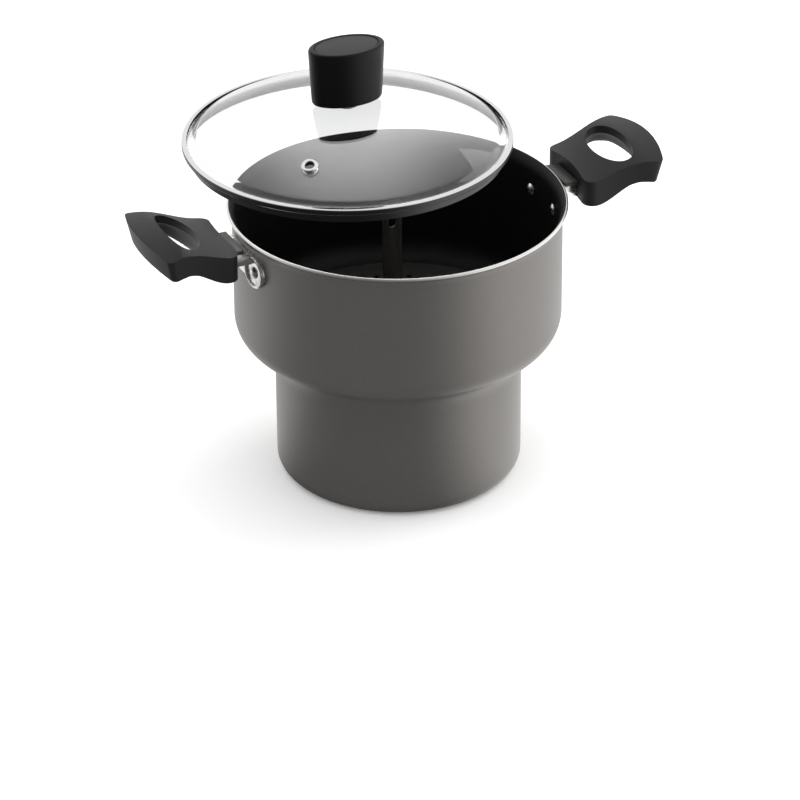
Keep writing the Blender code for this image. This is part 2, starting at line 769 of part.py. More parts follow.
# Side handles: each a bracket riveted to the pot, a neck cover, and a grip on the bracket's tongue


GRIP_INNER_X = WALL_RADIUS + GRIP_STANDOFF


def grip_inner_face(y):
    """How far out the grip's dished inner end lies, across the handle."""
    half = GRIP_INNER_HALF - GRIP_SHOULDER_ROUND
    return GRIP_INNER_X + GRIP_INNER_DISH * max(1.0 - (y / half) ** 2, 0.0)


RIVET_Z = POT_HEIGHT - RIVET_BELOW_RIM
EAR_INNER = WALL_RADIUS + GAP
EAR_OUTER = EAR_INNER + EAR_THICKNESS
NECK_ROOT = EAR_OUTER - NECK_ROOT_SUNK
NECK_TOP = POT_HEIGHT - NECK_TOP_BELOW_RIM
NECK_BOTTOM = POT_HEIGHT - NECK_BOTTOM_BELOW_RIM
NECK_STEP = RIM_RADIUS + NECK_RIM_CLEARANCE
COVER_HALF = NECK_WIDTH / 2.0 + GAP + COVER_SHEET
NECK_END = grip_inner_face(NECK_WIDTH / 2.0) - GAP
COVER_START = NECK_STEP + NECK_SLOPE
COVER_END = grip_inner_face(COVER_HALF) - GAP
TONGUE_Z = POT_HEIGHT - TONGUE_BELOW_RIM
TONGUE_END = NECK_END + TONGUE_LENGTH
GRIP_OUTER_X = GRIP_INNER_X + GRIP_LENGTH
GRIP_CORNER_X = GRIP_OUTER_X - GRIP_OUTER_BULGE
GRIP_HOLE_X = GRIP_INNER_X + GRIP_HOLE_FROM_INNER
GRIP_BOTTOM_Z = POT_HEIGHT + GRIP_BOTTOM_INNER
SCREW_X = (NECK_END + TONGUE_END) / 2.0
SCREW_HEAD_TOP = GRIP_BOTTOM_Z + GRIP_SCREW_SUNK + GRIP_SCREW_HEAD_HEIGHT
PLAN_STEPS = 8
SIDE_STEPS = 8
HOLE_STEPS = 20


def ear_outline():
    """The two round ears, bridged level with their tops and drawn in below, across and up."""
    drop = math.degrees(math.asin(min(EAR_BRIDGE_DROP / EAR_RADIUS, 0.95)))
    right = round_arc((RIVET_HALF_SPACING, RIVET_Z), EAR_RADIUS, drop - 180.0, 90.0, 14)
    left = round_arc((-RIVET_HALF_SPACING, RIVET_Z), EAR_RADIUS, 90.0, 360.0 - drop, 14)
    return right + left


def neck_outline():
    """The neck's side view, from the ears out to the grip, under the rim's overhang."""
    return [
        (NECK_ROOT, NECK_BOTTOM),
        (NECK_END, NECK_BOTTOM),
        (NECK_END, NECK_TOP),
        (NECK_STEP + NECK_SLOPE, NECK_TOP),
        (NECK_STEP, POT_HEIGHT - FLARE_HEIGHT),
        (EAR_OUTER, RIVET_Z + EAR_RADIUS),
        (NECK_ROOT, RIVET_Z + EAR_RADIUS),
    ]


def bracket(side, frame):
    """A saddle with two ears, a neck hollowed from below and a tongue that enters the grip."""
    saddle_top = RIVET_Z + EAR_RADIUS + SADDLE_MARGIN
    saddle_foot = RIVET_Z - EAR_RADIUS - SADDLE_MARGIN
    saddle_profile = [
        (EAR_OUTER, saddle_top),
        (EAR_OUTER, saddle_foot),
        (EAR_INNER, saddle_foot),
        (EAR_INNER, saddle_top),
    ]
    body = turned_part(f"bracket_{side}", saddle_profile, BARE_ALUMINIUM, True, ROUND_STEPS, frame)
    ears = add_cutter(
        f"ear_outline_{side}", outline_mesh(f"ear_outline_{side}", [ear_outline()], WALL_RADIUS / 2.0), frame
    )
    ears.matrix_local = Matrix.Translation((WALL_RADIUS, 0.0, 0.0)) @ END_VIEW
    trim(body, ears)
    neck = add_cutter(
        f"neck_block_{side}", outline_mesh(f"neck_block_{side}", [neck_outline()], NECK_WIDTH / 2.0), frame
    )
    neck.matrix_local = SIDE_VIEW
    join(body, neck)
    hollow_shape = [
        (NECK_STEP + NECK_WALL, NECK_BOTTOM - NECK_WALL),
        (NECK_END - NECK_WALL, NECK_BOTTOM - NECK_WALL),
        (NECK_END - NECK_WALL, NECK_TOP - NECK_WALL),
        (NECK_STEP + NECK_WALL, NECK_TOP - NECK_WALL),
    ]
    hollow = add_cutter(
        f"neck_hollow_{side}",
        outline_mesh(f"neck_hollow_{side}", [hollow_shape], NECK_WIDTH / 2.0 - NECK_WALL),
        frame,
    )
    hollow.matrix_local = SIDE_VIEW
    cut(body, hollow)
    tongue_root = NECK_END - NECK_WALL / 2.0
    tongue_shape = rounded_outline(
        [
            (tongue_root, -TONGUE_WIDTH / 2.0, 0.0),
            (TONGUE_END, -TONGUE_WIDTH / 2.0, TONGUE_CORNER),
            (TONGUE_END, TONGUE_WIDTH / 2.0, TONGUE_CORNER),
            (tongue_root, TONGUE_WIDTH / 2.0, 0.0),
        ],
        3,
    )
    tongue = add_cutter(
        f"tongue_{side}", outline_mesh(f"tongue_{side}", [tongue_shape], TONGUE_THICKNESS / 2.0), frame
    )
    tongue.location = (0.0, 0.0, TONGUE_Z)
    join(body, tongue)
    screw_bore = rod_cutter(
        f"tongue_bore_{side}",
        GRIP_SCREW_RADIUS + GAP,
        TONGUE_Z - TONGUE_THICKNESS,
        TONGUE_Z + TONGUE_THICKNESS,
        frame,
    )
    screw_bore.location = (SCREW_X, 0.0, 0.0)
    cut(body, screw_bore)
    return body


def neck_cover(side, frame):
    """A dark cap folded over the top of the neck, from the rim's overhang to the grip."""
    half = NECK_WIDTH / 2.0
    top = NECK_TOP + GAP
    outer = COVER_HALF
    section = [
        (-outer, NECK_TOP - COVER_SIDE),
        (-outer, top + COVER_SHEET - COVER_CHAMFER),
        (-outer + COVER_CHAMFER, top + COVER_SHEET),
        (outer - COVER_CHAMFER, top + COVER_SHEET),
        (outer, top + COVER_SHEET - COVER_CHAMFER),
        (outer, NECK_TOP - COVER_SIDE),
        (half + GAP, NECK_TOP - COVER_SIDE),
        (half + GAP, top),
        (-half - GAP, top),
        (-half - GAP, NECK_TOP - COVER_SIDE),
    ]
    half_length = (COVER_END - COVER_START) / 2.0
    cover = add_object(
        f"neck_cover_{side}", outline_mesh(f"neck_cover_{side}", [section], half_length), DARK_METAL, frame
    )
    cover.matrix_local = Matrix.Translation((COVER_START + half_length, 0.0, 0.0)) @ END_VIEW
    return cover


def rivet(side, place, angle, frame):
    """A rivet through the pot's wall and an ear, with a dome head at each end."""
    inner_seat = WALL_INNER * math.cos(math.pi / ROUND_STEPS) - GAP
    outer_seat = EAR_OUTER + GAP
    stations = [
        (RIVET_HEAD * 0.45, outer_seat + RIVET_HEAD_RISE),
        (RIVET_HEAD * 0.85, outer_seat + RIVET_HEAD_RISE * 0.65),
        (RIVET_HEAD, outer_seat),
        (RIVET_SHANK, outer_seat),
        (RIVET_SHANK, inner_seat),
        (RIVET_HEAD, inner_seat),
        (RIVET_HEAD * 0.85, inner_seat - RIVET_HEAD_RISE * 0.65),
        (RIVET_HEAD * 0.45, inner_seat - RIVET_HEAD_RISE),
    ]
    lie_radially = Matrix.Rotation(math.radians(90.0), 4, "Y")
    place_matrix = (
        Matrix.Translation((0.0, 0.0, RIVET_Z)) @ Matrix.Rotation(angle, 4, "Z") @ lie_radially
    )
    pin = turned_part(
        f"rivet_{side}_{place}", pin_profile(stations), BARE_ALUMINIUM, False, SMALL_STEPS, frame
    )
    pin.matrix_local = place_matrix
    bore = rod_cutter(
        f"rivet_bore_{side}_{place}",
        RIVET_SHANK + GAP,
        WALL_INNER - RIVET_HEAD_RISE,
        EAR_OUTER + RIVET_HEAD_RISE,
        frame,
    )
    bore.matrix_local = place_matrix
    return bore


def grip_plan():
    """The grip seen from above: flaring sides, a bowed outer end and a dished inner end."""
    bow_radius = (GRIP_OUTER_HALF**2 + GRIP_OUTER_BULGE**2) / (2.0 * GRIP_OUTER_BULGE)
    bow_centre = GRIP_OUTER_X - bow_radius
    dish_half = GRIP_INNER_HALF - GRIP_SHOULDER_ROUND
    corners = [
        (GRIP_INNER_X, -GRIP_INNER_HALF, GRIP_SHOULDER_ROUND),
        (GRIP_CORNER_X, -GRIP_OUTER_HALF, GRIP_CORNER_ROUND),
    ]
    for i in range(1, PLAN_STEPS):
        y = -GRIP_OUTER_HALF + 2.0 * GRIP_OUTER_HALF * i / PLAN_STEPS
        corners.append((bow_centre + math.sqrt(bow_radius**2 - y**2), y, 0.0))
    corners += [
        (GRIP_CORNER_X, GRIP_OUTER_HALF, GRIP_CORNER_ROUND),
        (GRIP_INNER_X, GRIP_INNER_HALF, GRIP_SHOULDER_ROUND),
    ]
    for i in range(1, PLAN_STEPS):
        y = dish_half * (1.0 - 2.0 * i / PLAN_STEPS)
        corners.append((grip_inner_face(y), y, 0.0))
    return rounded_outline(corners, 4)


def grip_top(x):
    climbed = blend(x - GRIP_INNER_X, *GRIP_TOP_CLIMB)
    return POT_HEIGHT + GRIP_TOP_INNER + (GRIP_TOP_OUTER - GRIP_TOP_INNER) * climbed


def grip_bottom(x):
    climbed = blend(x - GRIP_INNER_X, *GRIP_BOTTOM_CLIMB)
    return POT_HEIGHT + GRIP_BOTTOM_INNER + (GRIP_BOTTOM_OUTER - GRIP_BOTTOM_INNER) * climbed


def grip_side():
    """The grip's side view: it climbs from the neck and thins towards its outer end."""
    start = GRIP_INNER_X - GRIP_INNER_DISH
    end = GRIP_OUTER_X + GRIP_OUTER_BULGE
    stations = [start + (end - start) * i / SIDE_STEPS for i in range(SIDE_STEPS + 1)]
    below = [(x, grip_bottom(x)) for x in stations]
    above = [(x, grip_top(x)) for x in reversed(stations)]
    return below + above


def grip_hole(wider, longer):
    """The leaf-shaped finger hole, bowed like the outer end."""
    outline = []
    for i in range(HOLE_STEPS):
        angle = math.tau * i / HOLE_STEPS
        across = math.copysign(abs(math.sin(angle)) ** GRIP_HOLE_END_POWER, math.sin(angle))
        width = math.copysign(abs(math.cos(angle)) ** GRIP_HOLE_SIDE_POWER, math.cos(angle))
        bow = GRIP_HOLE_BOW * across**2
        x = GRIP_HOLE_X + (GRIP_HOLE_HALF_WIDTH + wider) * width + bow
        outline.append((x, (GRIP_HOLE_HALF_LENGTH + longer) * across))
    return outline


def undercut_mesh(name):
    """The hole's widening below its wall, down past the grip's underside."""
    bottom = POT_HEIGHT + GRIP_BOTTOM_OUTER
    levels = [
        (POT_HEIGHT + GRIP_TOP_OUTER - GRIP_HOLE_WALL, 0.0),
        (bottom, 1.0),
        (bottom - GRIP_LENGTH / 2.0, 1.0),
    ]
    verts = []
    for z, share in levels:
        loop = grip_hole(GRIP_UNDERCUT_SIDE * share - GAP, GRIP_UNDERCUT_END * share - GAP)
        verts += [(x, y, z) for x, y in loop]
    faces = [tuple(range(HOLE_STEPS)), tuple(reversed(range(2 * HOLE_STEPS, 3 * HOLE_STEPS)))]
    for level in range(len(levels) - 1):
        for i in range(HOLE_STEPS):
            upper = level * HOLE_STEPS + i
            upper_next = level * HOLE_STEPS + (i + 1) % HOLE_STEPS
            faces.append((upper, upper + HOLE_STEPS, upper_next + HOLE_STEPS, upper_next))
    mesh = bpy.data.meshes.new(name)
    mesh.from_pydata(verts, [], faces)
    return mesh


def draft_outer_end(mesh):
    """Leans the outer end of the grip's upright block inwards, from its top edge down."""
    height = GRIP_TOP_OUTER - GRIP_BOTTOM_OUTER
    for vertex in mesh.vertices:
        outward = blend(vertex.co.x, GRIP_HOLE_X + GRIP_HOLE_HALF_WIDTH + GRIP_HOLE_BOW, GRIP_CORNER_X)
        drop = outward * (GRIP_TOP_OUTER - vertex.co.z) / height
        vertex.co.x -= GRIP_OUTER_DRAFT * drop
        vertex.co.y *= 1.0 - GRIP_SIDE_DRAFT * drop


def grip(side, frame):
    """The moulded grip, with a pocket for the tongue and a counterbore for its screw."""
    half_height = GRIP_TOP_OUTER - GRIP_BOTTOM_INNER
    block = outline_mesh(f"grip_{side}", [grip_plan(), grip_hole(0.0, 0.0)], half_height)
    draft_outer_end(block)
    handle = add_object(f"grip_{side}", block, BAKELITE, frame)
    handle.location = (0.0, 0.0, POT_HEIGHT)
    side_shape = add_cutter(
        f"grip_side_{side}", outline_mesh(f"grip_side_{side}", [grip_side()], GRIP_LENGTH), frame
    )
    side_shape.matrix_local = SIDE_VIEW
    trim(handle, side_shape)
    soften = handle.modifiers.new("soften", "BEVEL")
    soften.width = GRIP_EDGE_ROUND
    soften.segments = 2
    soften.limit_method = "ANGLE"
    soften.angle_limit = math.radians(50.0)
    cut(handle, add_cutter(f"hole_undercut_{side}", undercut_mesh(f"hole_undercut_{side}"), frame))
    pocket_half = TONGUE_WIDTH / 2.0 + GAP
    pocket_shape = [
        (GRIP_INNER_X - GRIP_INNER_DISH, -pocket_half),
        (TONGUE_END + GAP, -pocket_half),
        (TONGUE_END + GAP, pocket_half),
        (GRIP_INNER_X - GRIP_INNER_DISH, pocket_half),
    ]
    pocket = add_cutter(
        f"tongue_pocket_{side}",
        outline_mesh(f"tongue_pocket_{side}", [pocket_shape], TONGUE_THICKNESS / 2.0 + GAP),
        frame,
    )
    pocket.location = (0.0, 0.0, TONGUE_Z)
    cut(handle, pocket)
    counterbore = turned_cutter(
        f"screw_bore_{side}",
        pin_profile(
            [
                (GRIP_SCREW_RADIUS + GAP, TONGUE_Z + GRIP_SCREW_REACH + GAP),
                (GRIP_SCREW_RADIUS + GAP, SCREW_HEAD_TOP + GAP),
                (GRIP_SCREW_HEAD + GAP, SCREW_HEAD_TOP + GAP),
                (GRIP_SCREW_HEAD + GAP, GRIP_BOTTOM_Z - GRIP_SCREW_HEAD_HEIGHT),
            ]
        ),
        False,
        SMALL_STEPS,
        frame,
    )
    counterbore.location = (SCREW_X, 0.0, 0.0)
    cut(handle, counterbore)
    return handle


def grip_screw(side, frame):
    """The screw from below, through the tongue into the grip."""
    stations = [
        (GRIP_SCREW_RADIUS, TONGUE_Z + GRIP_SCREW_REACH),
        (GRIP_SCREW_RADIUS, SCREW_HEAD_TOP),
        (GRIP_SCREW_HEAD, SCREW_HEAD_TOP),
        (GRIP_SCREW_HEAD, SCREW_HEAD_TOP - GRIP_SCREW_HEAD_HEIGHT * 0.5),
        (GRIP_SCREW_HEAD * 0.65, SCREW_HEAD_TOP - GRIP_SCREW_HEAD_HEIGHT),
    ]
    screw = turned_part(f"grip_screw_{side}", pin_profile(stations), STAINLESS, False, SMALL_STEPS, frame)
    screw.location = (SCREW_X, 0.0, 0.0)
    return screw


def side_handle(side, turned_by):
    """One whole handle, turned about the pot's axis to its side."""
    frame = bpy.data.objects.new(f"handle_frame_{side}", None)
    STEAMER.objects.link(frame)
    frame.rotation_euler = (0.0, 0.0, turned_by)
    ears = bracket(side, frame)
    neck_cover(side, frame)
    grip(side, frame)
    grip_screw(side, frame)
    spread = math.asin(RIVET_HALF_SPACING / WALL_RADIUS)
    for place, angle in (("front", -spread), ("rear", spread)):
        bore = rivet(side, place, angle, frame)
        cut(pot_body, bore)
        cut(ears, bore)


side_handle("right", 0.0)
side_handle("left", math.pi)


# Round parts are shaded smooth, with their edges kept sharp


for part in STEAMER.objects:
    if part.type == "MESH":
        part.data.shade_smooth()
        part.data.set_sharp_from_angle(angle=math.radians(35.0))
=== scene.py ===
"""Looks of the couscous steamer: a stepped, coated pot with moulded side grips, a steam plate on a strap
stem and a glass lid. Metres, +Z up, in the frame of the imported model."""

import math

import bmesh
import bpy
from mathutils import Matrix, Vector, kdtree


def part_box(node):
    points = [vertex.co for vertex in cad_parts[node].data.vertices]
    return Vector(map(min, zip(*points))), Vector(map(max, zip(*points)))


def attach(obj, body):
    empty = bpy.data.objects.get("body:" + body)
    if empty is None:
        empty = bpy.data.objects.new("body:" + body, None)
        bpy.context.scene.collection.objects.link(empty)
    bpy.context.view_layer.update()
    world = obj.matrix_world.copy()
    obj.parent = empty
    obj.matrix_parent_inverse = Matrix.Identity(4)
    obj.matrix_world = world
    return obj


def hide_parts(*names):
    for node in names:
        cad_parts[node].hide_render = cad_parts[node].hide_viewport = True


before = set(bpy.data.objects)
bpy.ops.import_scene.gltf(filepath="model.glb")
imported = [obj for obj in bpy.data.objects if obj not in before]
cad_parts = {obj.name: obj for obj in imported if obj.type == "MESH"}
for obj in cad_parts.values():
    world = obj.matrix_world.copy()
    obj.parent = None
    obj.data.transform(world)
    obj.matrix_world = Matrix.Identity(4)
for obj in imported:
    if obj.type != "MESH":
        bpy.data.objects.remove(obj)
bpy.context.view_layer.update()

# Studio: a white floor that keeps a soft shadow, a white surround and a soft lamp at each side. Gloss sees
# the surround dark in front, with a glow low at the right, and sharp gloss also a soft box above the pot.
# The camera stands 2.6 m off, left of the pot's front, and looks down at it a little.

VIEW_DISTANCE = 2.6
VIEW_ELEVATION = math.radians(26.6)
VIEW_TURN = math.radians(24.0)
VIEW_ROLL = -0.007
VIEW_RIGHT = Vector((math.cos(VIEW_TURN), -math.sin(VIEW_TURN), 0.0))
VIEW_AWAY = Vector((math.sin(VIEW_TURN), math.cos(VIEW_TURN), 0.0))
UPWARDS = Vector((0.0, 0.0, 1.0))
RIM_CENTRE = Vector((0.0, 0.0, 0.175))
RIM_PIXEL = (398.6, 203.1)
IMAGE_PIXELS = 800.0
PIXELS_PER_METRE = 1666.0
SENSOR_MM = 36.0
FLOOR_HALF = 9.0
FLOOR_COLOUR = 0.93
FLOOR_SEEN = 1.10
FLOOR_LIFT = 0.12
SURROUND_WHITE = 1.0
SURROUND_FILL = 0.50
OVERHEAD_FILL = 1.10
DARK_FRONT = Vector((-0.67, -0.74, 0.0)).normalized()
DARK_RANGE = (-0.05, 0.85)
FRONT_LEVEL = 0.10
LIGHT_RIGHT = Vector((0.914, -0.407, 0.0))
LIGHT_AWAY = Vector((0.407, 0.914, 0.0))
RIGHT_GLOW = 0.38
GLOW_RIGHT_RANGE = (0.25, 1.0)
GLOW_HEIGHT_RANGE = (0.45, 0.10)
SOFTBOX_LEVEL = 3.0
SOFTBOX_MIDDLE_RANGE = (0.38, 0.95)
SOFTBOX_AWAY_RANGE = (-0.45, 0.50)
SOFTBOX_HEIGHT_RANGE = (0.15, 0.45)
LAMP_AIM = Vector((0.0, 0.0, 0.1))


def link_new(name, data):
    obj = bpy.data.objects.new(name, data)
    bpy.context.scene.collection.objects.link(obj)
    return obj


def add_math(nodes, links, operation, first, second):
    """A maths node; each input is a socket to link or a plain number."""
    node = nodes.new("ShaderNodeMath")
    node.operation = operation
    for socket, given in zip(node.inputs, (first, second)):
        if isinstance(given, bpy.types.NodeSocket):
            links.new(given, socket)
        else:
            socket.default_value = given
    return node.outputs[0]


def multiplied(nodes, links, first, *others):
    """The product of sockets and plain numbers."""
    for other in others:
        first = add_math(nodes, links, "MULTIPLY", first, other)
    return first


def seen_directly(nodes, links):
    """1 for what the camera, gloss and glass see, and 0 for light that falls on surfaces."""
    path = nodes.new("ShaderNodeLightPath")
    either = add_math(nodes, links, "MAXIMUM", path.outputs["Is Camera Ray"], path.outputs["Is Glossy Ray"])
    return add_math(nodes, links, "MAXIMUM", either, path.outputs["Is Transmission Ray"])


def along(nodes, links, towards, axis):
    """How far a direction points along an axis, from -1 to 1."""
    aim = nodes.new("ShaderNodeVectorMath")
    aim.operation = "NORMALIZE"
    links.new(towards, aim.inputs[0])
    dot = nodes.new("ShaderNodeVectorMath")
    dot.operation = "DOT_PRODUCT"
    dot.inputs[1].default_value = axis
    links.new(aim.outputs[0], dot.inputs[0])
    return dot.outputs["Value"]


def faded(nodes, links, source, span, high):
    """Eases from 0 at the start of a span to a high value at its end."""
    fade = nodes.new("ShaderNodeMapRange")
    fade.interpolation_type = "SMOOTHSTEP"
    fade.inputs["From Min"].default_value = span[0]
    fade.inputs["From Max"].default_value = span[1]
    fade.inputs["To Min"].default_value = 0.0
    fade.inputs["To Max"].default_value = high
    links.new(source, fade.inputs["Value"])
    return fade.outputs["Result"]


def seen_strength(nodes, links, towards):
    """White, but for gloss dark where the given vector points to the front and brighter low at the right."""
    front = along(nodes, links, towards, DARK_FRONT)
    dark = faded(nodes, links, front, DARK_RANGE, SURROUND_WHITE - FRONT_LEVEL)
    right = faded(nodes, links, along(nodes, links, towards, LIGHT_RIGHT), GLOW_RIGHT_RANGE, RIGHT_GLOW)
    low = faded(nodes, links, along(nodes, links, towards, UPWARDS), GLOW_HEIGHT_RANGE, 1.0)
    change = add_math(nodes, links, "SUBTRACT", multiplied(nodes, links, right, low), dark)
    path = nodes.new("ShaderNodeLightPath")
    glossy = multiplied(nodes, links, change, path.outputs["Is Glossy Ray"])
    return add_math(nodes, links, "ADD", SURROUND_WHITE, glossy)


def softbox_strength(nodes, links, towards):
    """A broad soft box above and behind the pot, seen only in perfectly sharp gloss, as that of glass."""
    side = add_math(nodes, links, "ABSOLUTE", along(nodes, links, towards, LIGHT_RIGHT), 0.0)
    middle = add_math(nodes, links, "SUBTRACT", 1.0, side)
    box = faded(nodes, links, middle, SOFTBOX_MIDDLE_RANGE, SOFTBOX_LEVEL)
    away = faded(nodes, links, along(nodes, links, towards, LIGHT_AWAY), SOFTBOX_AWAY_RANGE, 1.0)
    height = faded(nodes, links, along(nodes, links, towards, UPWARDS), SOFTBOX_HEIGHT_RANGE, 1.0)
    path = nodes.new("ShaderNodeLightPath")
    sharp = multiplied(nodes, links, path.outputs["Is Glossy Ray"], path.outputs["Is Singular Ray"])
    undiffused = add_math(nodes, links, "LESS_THAN", path.outputs["Diffuse Depth"], 0.5)
    return multiplied(nodes, links, box, away, height, sharp, undiffused)


def white_surround():
    """A white world for what is seen, and a plain fill, stronger overhead, for the light on surfaces."""
    world = bpy.data.worlds.new("white_surround")
    bpy.context.scene.world = world
    world.use_nodes = True
    nodes, links = world.node_tree.nodes, world.node_tree.links
    nodes.clear()
    place = nodes.new("ShaderNodeTexCoord")
    towards = place.outputs["Generated"]
    seen = nodes.new("ShaderNodeBackground")
    strength = add_math(
        nodes, links, "ADD", seen_strength(nodes, links, towards), softbox_strength(nodes, links, towards)
    )
    links.new(strength, seen.inputs["Strength"])
    split = nodes.new("ShaderNodeSeparateXYZ")
    links.new(towards, split.inputs[0])
    height = add_math(nodes, links, "MAXIMUM", split.outputs["Z"], 0.0)
    overhead = multiplied(nodes, links, height, height, OVERHEAD_FILL)
    fill = nodes.new("ShaderNodeBackground")
    links.new(add_math(nodes, links, "ADD", overhead, SURROUND_FILL), fill.inputs["Strength"])
    for background in (seen, fill):
        background.inputs["Color"].default_value = (1.0, 1.0, 1.0, 1.0)
    mix = nodes.new("ShaderNodeMixShader")
    links.new(seen_directly(nodes, links), mix.inputs["Fac"])
    links.new(fill.outputs[0], mix.inputs[1])
    links.new(seen.outputs[0], mix.inputs[2])
    output = nodes.new("ShaderNodeOutputWorld")
    links.new(mix.outputs[0], output.inputs["Surface"])


def white_floor():
    """A matte floor, paler to rays that see it directly, and mirrored in gloss as the surround is."""
    mesh = bpy.data.meshes.new("floor")
    bm = bmesh.new()
    bmesh.ops.create_grid(bm, x_segments=1, y_segments=1, size=FLOOR_HALF)
    bm.to_mesh(mesh)
    bm.free()
    floor = link_new("floor", mesh)
    material = bpy.data.materials.new("studio_floor")
    material.use_nodes = True
    nodes, links = material.node_tree.nodes, material.node_tree.links
    nodes.clear()
    seen = seen_directly(nodes, links)
    matte = nodes.new("ShaderNodeBsdfDiffuse")
    paler = multiplied(nodes, links, seen, FLOOR_SEEN - FLOOR_COLOUR)
    links.new(add_math(nodes, links, "ADD", paler, FLOOR_COLOUR), matte.inputs["Color"])
    place = nodes.new("ShaderNodeNewGeometry")
    glow = nodes.new("ShaderNodeEmission")
    links.new(seen_strength(nodes, links, place.outputs["Position"]), glow.inputs["Strength"])
    lift = nodes.new("ShaderNodeEmission")
    links.new(multiplied(nodes, links, seen, FLOOR_LIFT), lift.inputs["Strength"])
    lifted = nodes.new("ShaderNodeAddShader")
    links.new(matte.outputs[0], lifted.inputs[0])
    links.new(lift.outputs[0], lifted.inputs[1])
    path = nodes.new("ShaderNodeLightPath")
    mix = nodes.new("ShaderNodeMixShader")
    links.new(path.outputs["Is Glossy Ray"], mix.inputs["Fac"])
    links.new(lifted.outputs[0], mix.inputs[1])
    links.new(glow.outputs[0], mix.inputs[2])
    output = nodes.new("ShaderNodeOutputMaterial")
    links.new(mix.outputs[0], output.inputs["Surface"])
    mesh.materials.append(material)


def soft_lamp(name, place, size, watts):
    """A rectangular lamp turned to the pot, which gloss doesn't mirror."""
    data = bpy.data.lights.new(name, "AREA")
    data.shape = "RECTANGLE"
    data.size = size[0]
    data.size_y = size[1]
    data.energy = watts
    lamp = link_new(name, data)
    lamp.visible_glossy = False
    lamp.location = place
    lamp.rotation_euler = (LAMP_AIM - Vector(place)).to_track_quat("-Z", "Y").to_euler()


def photo_camera():
    """The photograph's view, aimed so that the middle of the rim falls on its pixel."""
    forward = VIEW_AWAY * math.cos(VIEW_ELEVATION) - UPWARDS * math.sin(VIEW_ELEVATION)
    up = VIEW_RIGHT.cross(forward)
    focal_pixels = PIXELS_PER_METRE * VIEW_DISTANCE
    across = IMAGE_PIXELS / 2.0 - RIM_PIXEL[0]
    down = IMAGE_PIXELS / 2.0 - RIM_PIXEL[1]
    aim = forward * focal_pixels + VIEW_RIGHT * across - up * down
    data = bpy.data.cameras.new("photo_camera")
    data.sensor_width = SENSOR_MM
    data.lens = SENSOR_MM * focal_pixels / IMAGE_PIXELS * focal_pixels / aim.length
    camera = link_new("photo_camera", data)
    camera.location = RIM_CENTRE - forward * VIEW_DISTANCE
    look = aim.to_track_quat("-Z", "Y").to_matrix() @ Matrix.Rotation(VIEW_ROLL, 3, "Z")
    camera.rotation_euler = look.to_euler()
    bpy.context.scene.camera = camera


white_surround()
white_floor()
soft_lamp("right_lamp", place=(1.9, 0.2, 0.9), size=(1.6, 1.6), watts=15.0)
soft_lamp("left_lamp", place=(-1.7, 0.9, 0.6), size=(0.3, 1.4), watts=1.0)
photo_camera()
bpy.context.scene.view_settings.view_transform = "Standard"

# Pot: one drawn aluminium shell, stepped in at the shoulder and flared at the rim. A graphite metallic
# coat covers the outside, a black speckled non-stick coat the inside, and the sheet's edge is turned bare.

POT_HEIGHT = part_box("pot_body")[1].z
WALL_RADIUS = 0.0995
WALL = 0.0019
FLARE_RADIUS = 0.0106
FLARE_SWEEP = 52.0
FLARE_CENTRE = Vector(
    (WALL_RADIUS - WALL + FLARE_RADIUS, POT_HEIGHT - FLARE_RADIUS * math.sin(math.radians(FLARE_SWEEP)))
)
EDGE_DEGREES = 180.0 - FLARE_SWEEP
ALONG_EDGE = Vector((math.cos(math.radians(EDGE_DEGREES)), math.sin(math.radians(EDGE_DEGREES))))
OFF_EDGE = Vector((ALONG_EDGE.y, -ALONG_EDGE.x))
LOWER_RADIUS = 0.0752
SHOULDER_TOP = 0.1050
SHOULDER_RADIUS = 0.0175
SHOULDER_SWEEP = 69.0
SHOULDER_ANGLE = math.radians(SHOULDER_SWEEP)
SHOULDER_CENTRE = (WALL_RADIUS - SHOULDER_RADIUS, SHOULDER_TOP)
WAIST_RADIUS = (WALL_RADIUS - LOWER_RADIUS) / (1.0 - math.cos(SHOULDER_ANGLE)) - SHOULDER_RADIUS
WAIST_CENTRE = (
    LOWER_RADIUS + WAIST_RADIUS,
    SHOULDER_TOP - (SHOULDER_RADIUS + WAIST_RADIUS) * math.sin(SHOULDER_ANGLE),
)
BASE_THICKNESS = 0.003
BASE_EDGE_RADIUS = 0.0095
RIM_ROUND = 0.0003
ROUND_STEPS = 192
GRAPHITE = (0.200, 0.190, 0.180)
GRAPHITE_METALLIC = 0.62
NON_STICK = (0.0045, 0.0045, 0.0048)
NON_STICK_SPECULAR = 0.22
SPECK = (0.020, 0.020, 0.020)
BARE_ALUMINIUM = (0.86, 0.85, 0.83)
GRAIN_SOFTNESS = 0.12


def arc_points(centre, radius, start, end, steps):
    """Points on an arc, by angle in degrees from +X towards +Z."""
    points = []
    for i in range(steps + 1):
        angle = math.radians(start + (end - start) * i / steps)
        points.append((centre[0] + radius * math.cos(angle), centre[1] + radius * math.sin(angle)))
    return points


def turned(profile, steps, closed=False):
    """A bmesh spun once round Z from a profile of (radius, height) points."""
    bm = bmesh.new()
    verts = [bm.verts.new((radius, 0.0, height)) for radius, height in profile]
    edges = [bm.edges.new(pair) for pair in zip(verts, verts[1:])]
    if closed:
        edges.append(bm.edges.new((verts[-1], verts[0])))
    bmesh.ops.spin(
        bm, geom=verts + edges, axis=(0.0, 0.0, 1.0), cent=(0.0, 0.0, 0.0), steps=steps, angle=math.tau,
        use_merge=True,
    )
    bmesh.ops.remove_doubles(bm, verts=bm.verts, dist=0.000001)
    bmesh.ops.recalc_face_normals(bm, faces=bm.faces)
    return bm


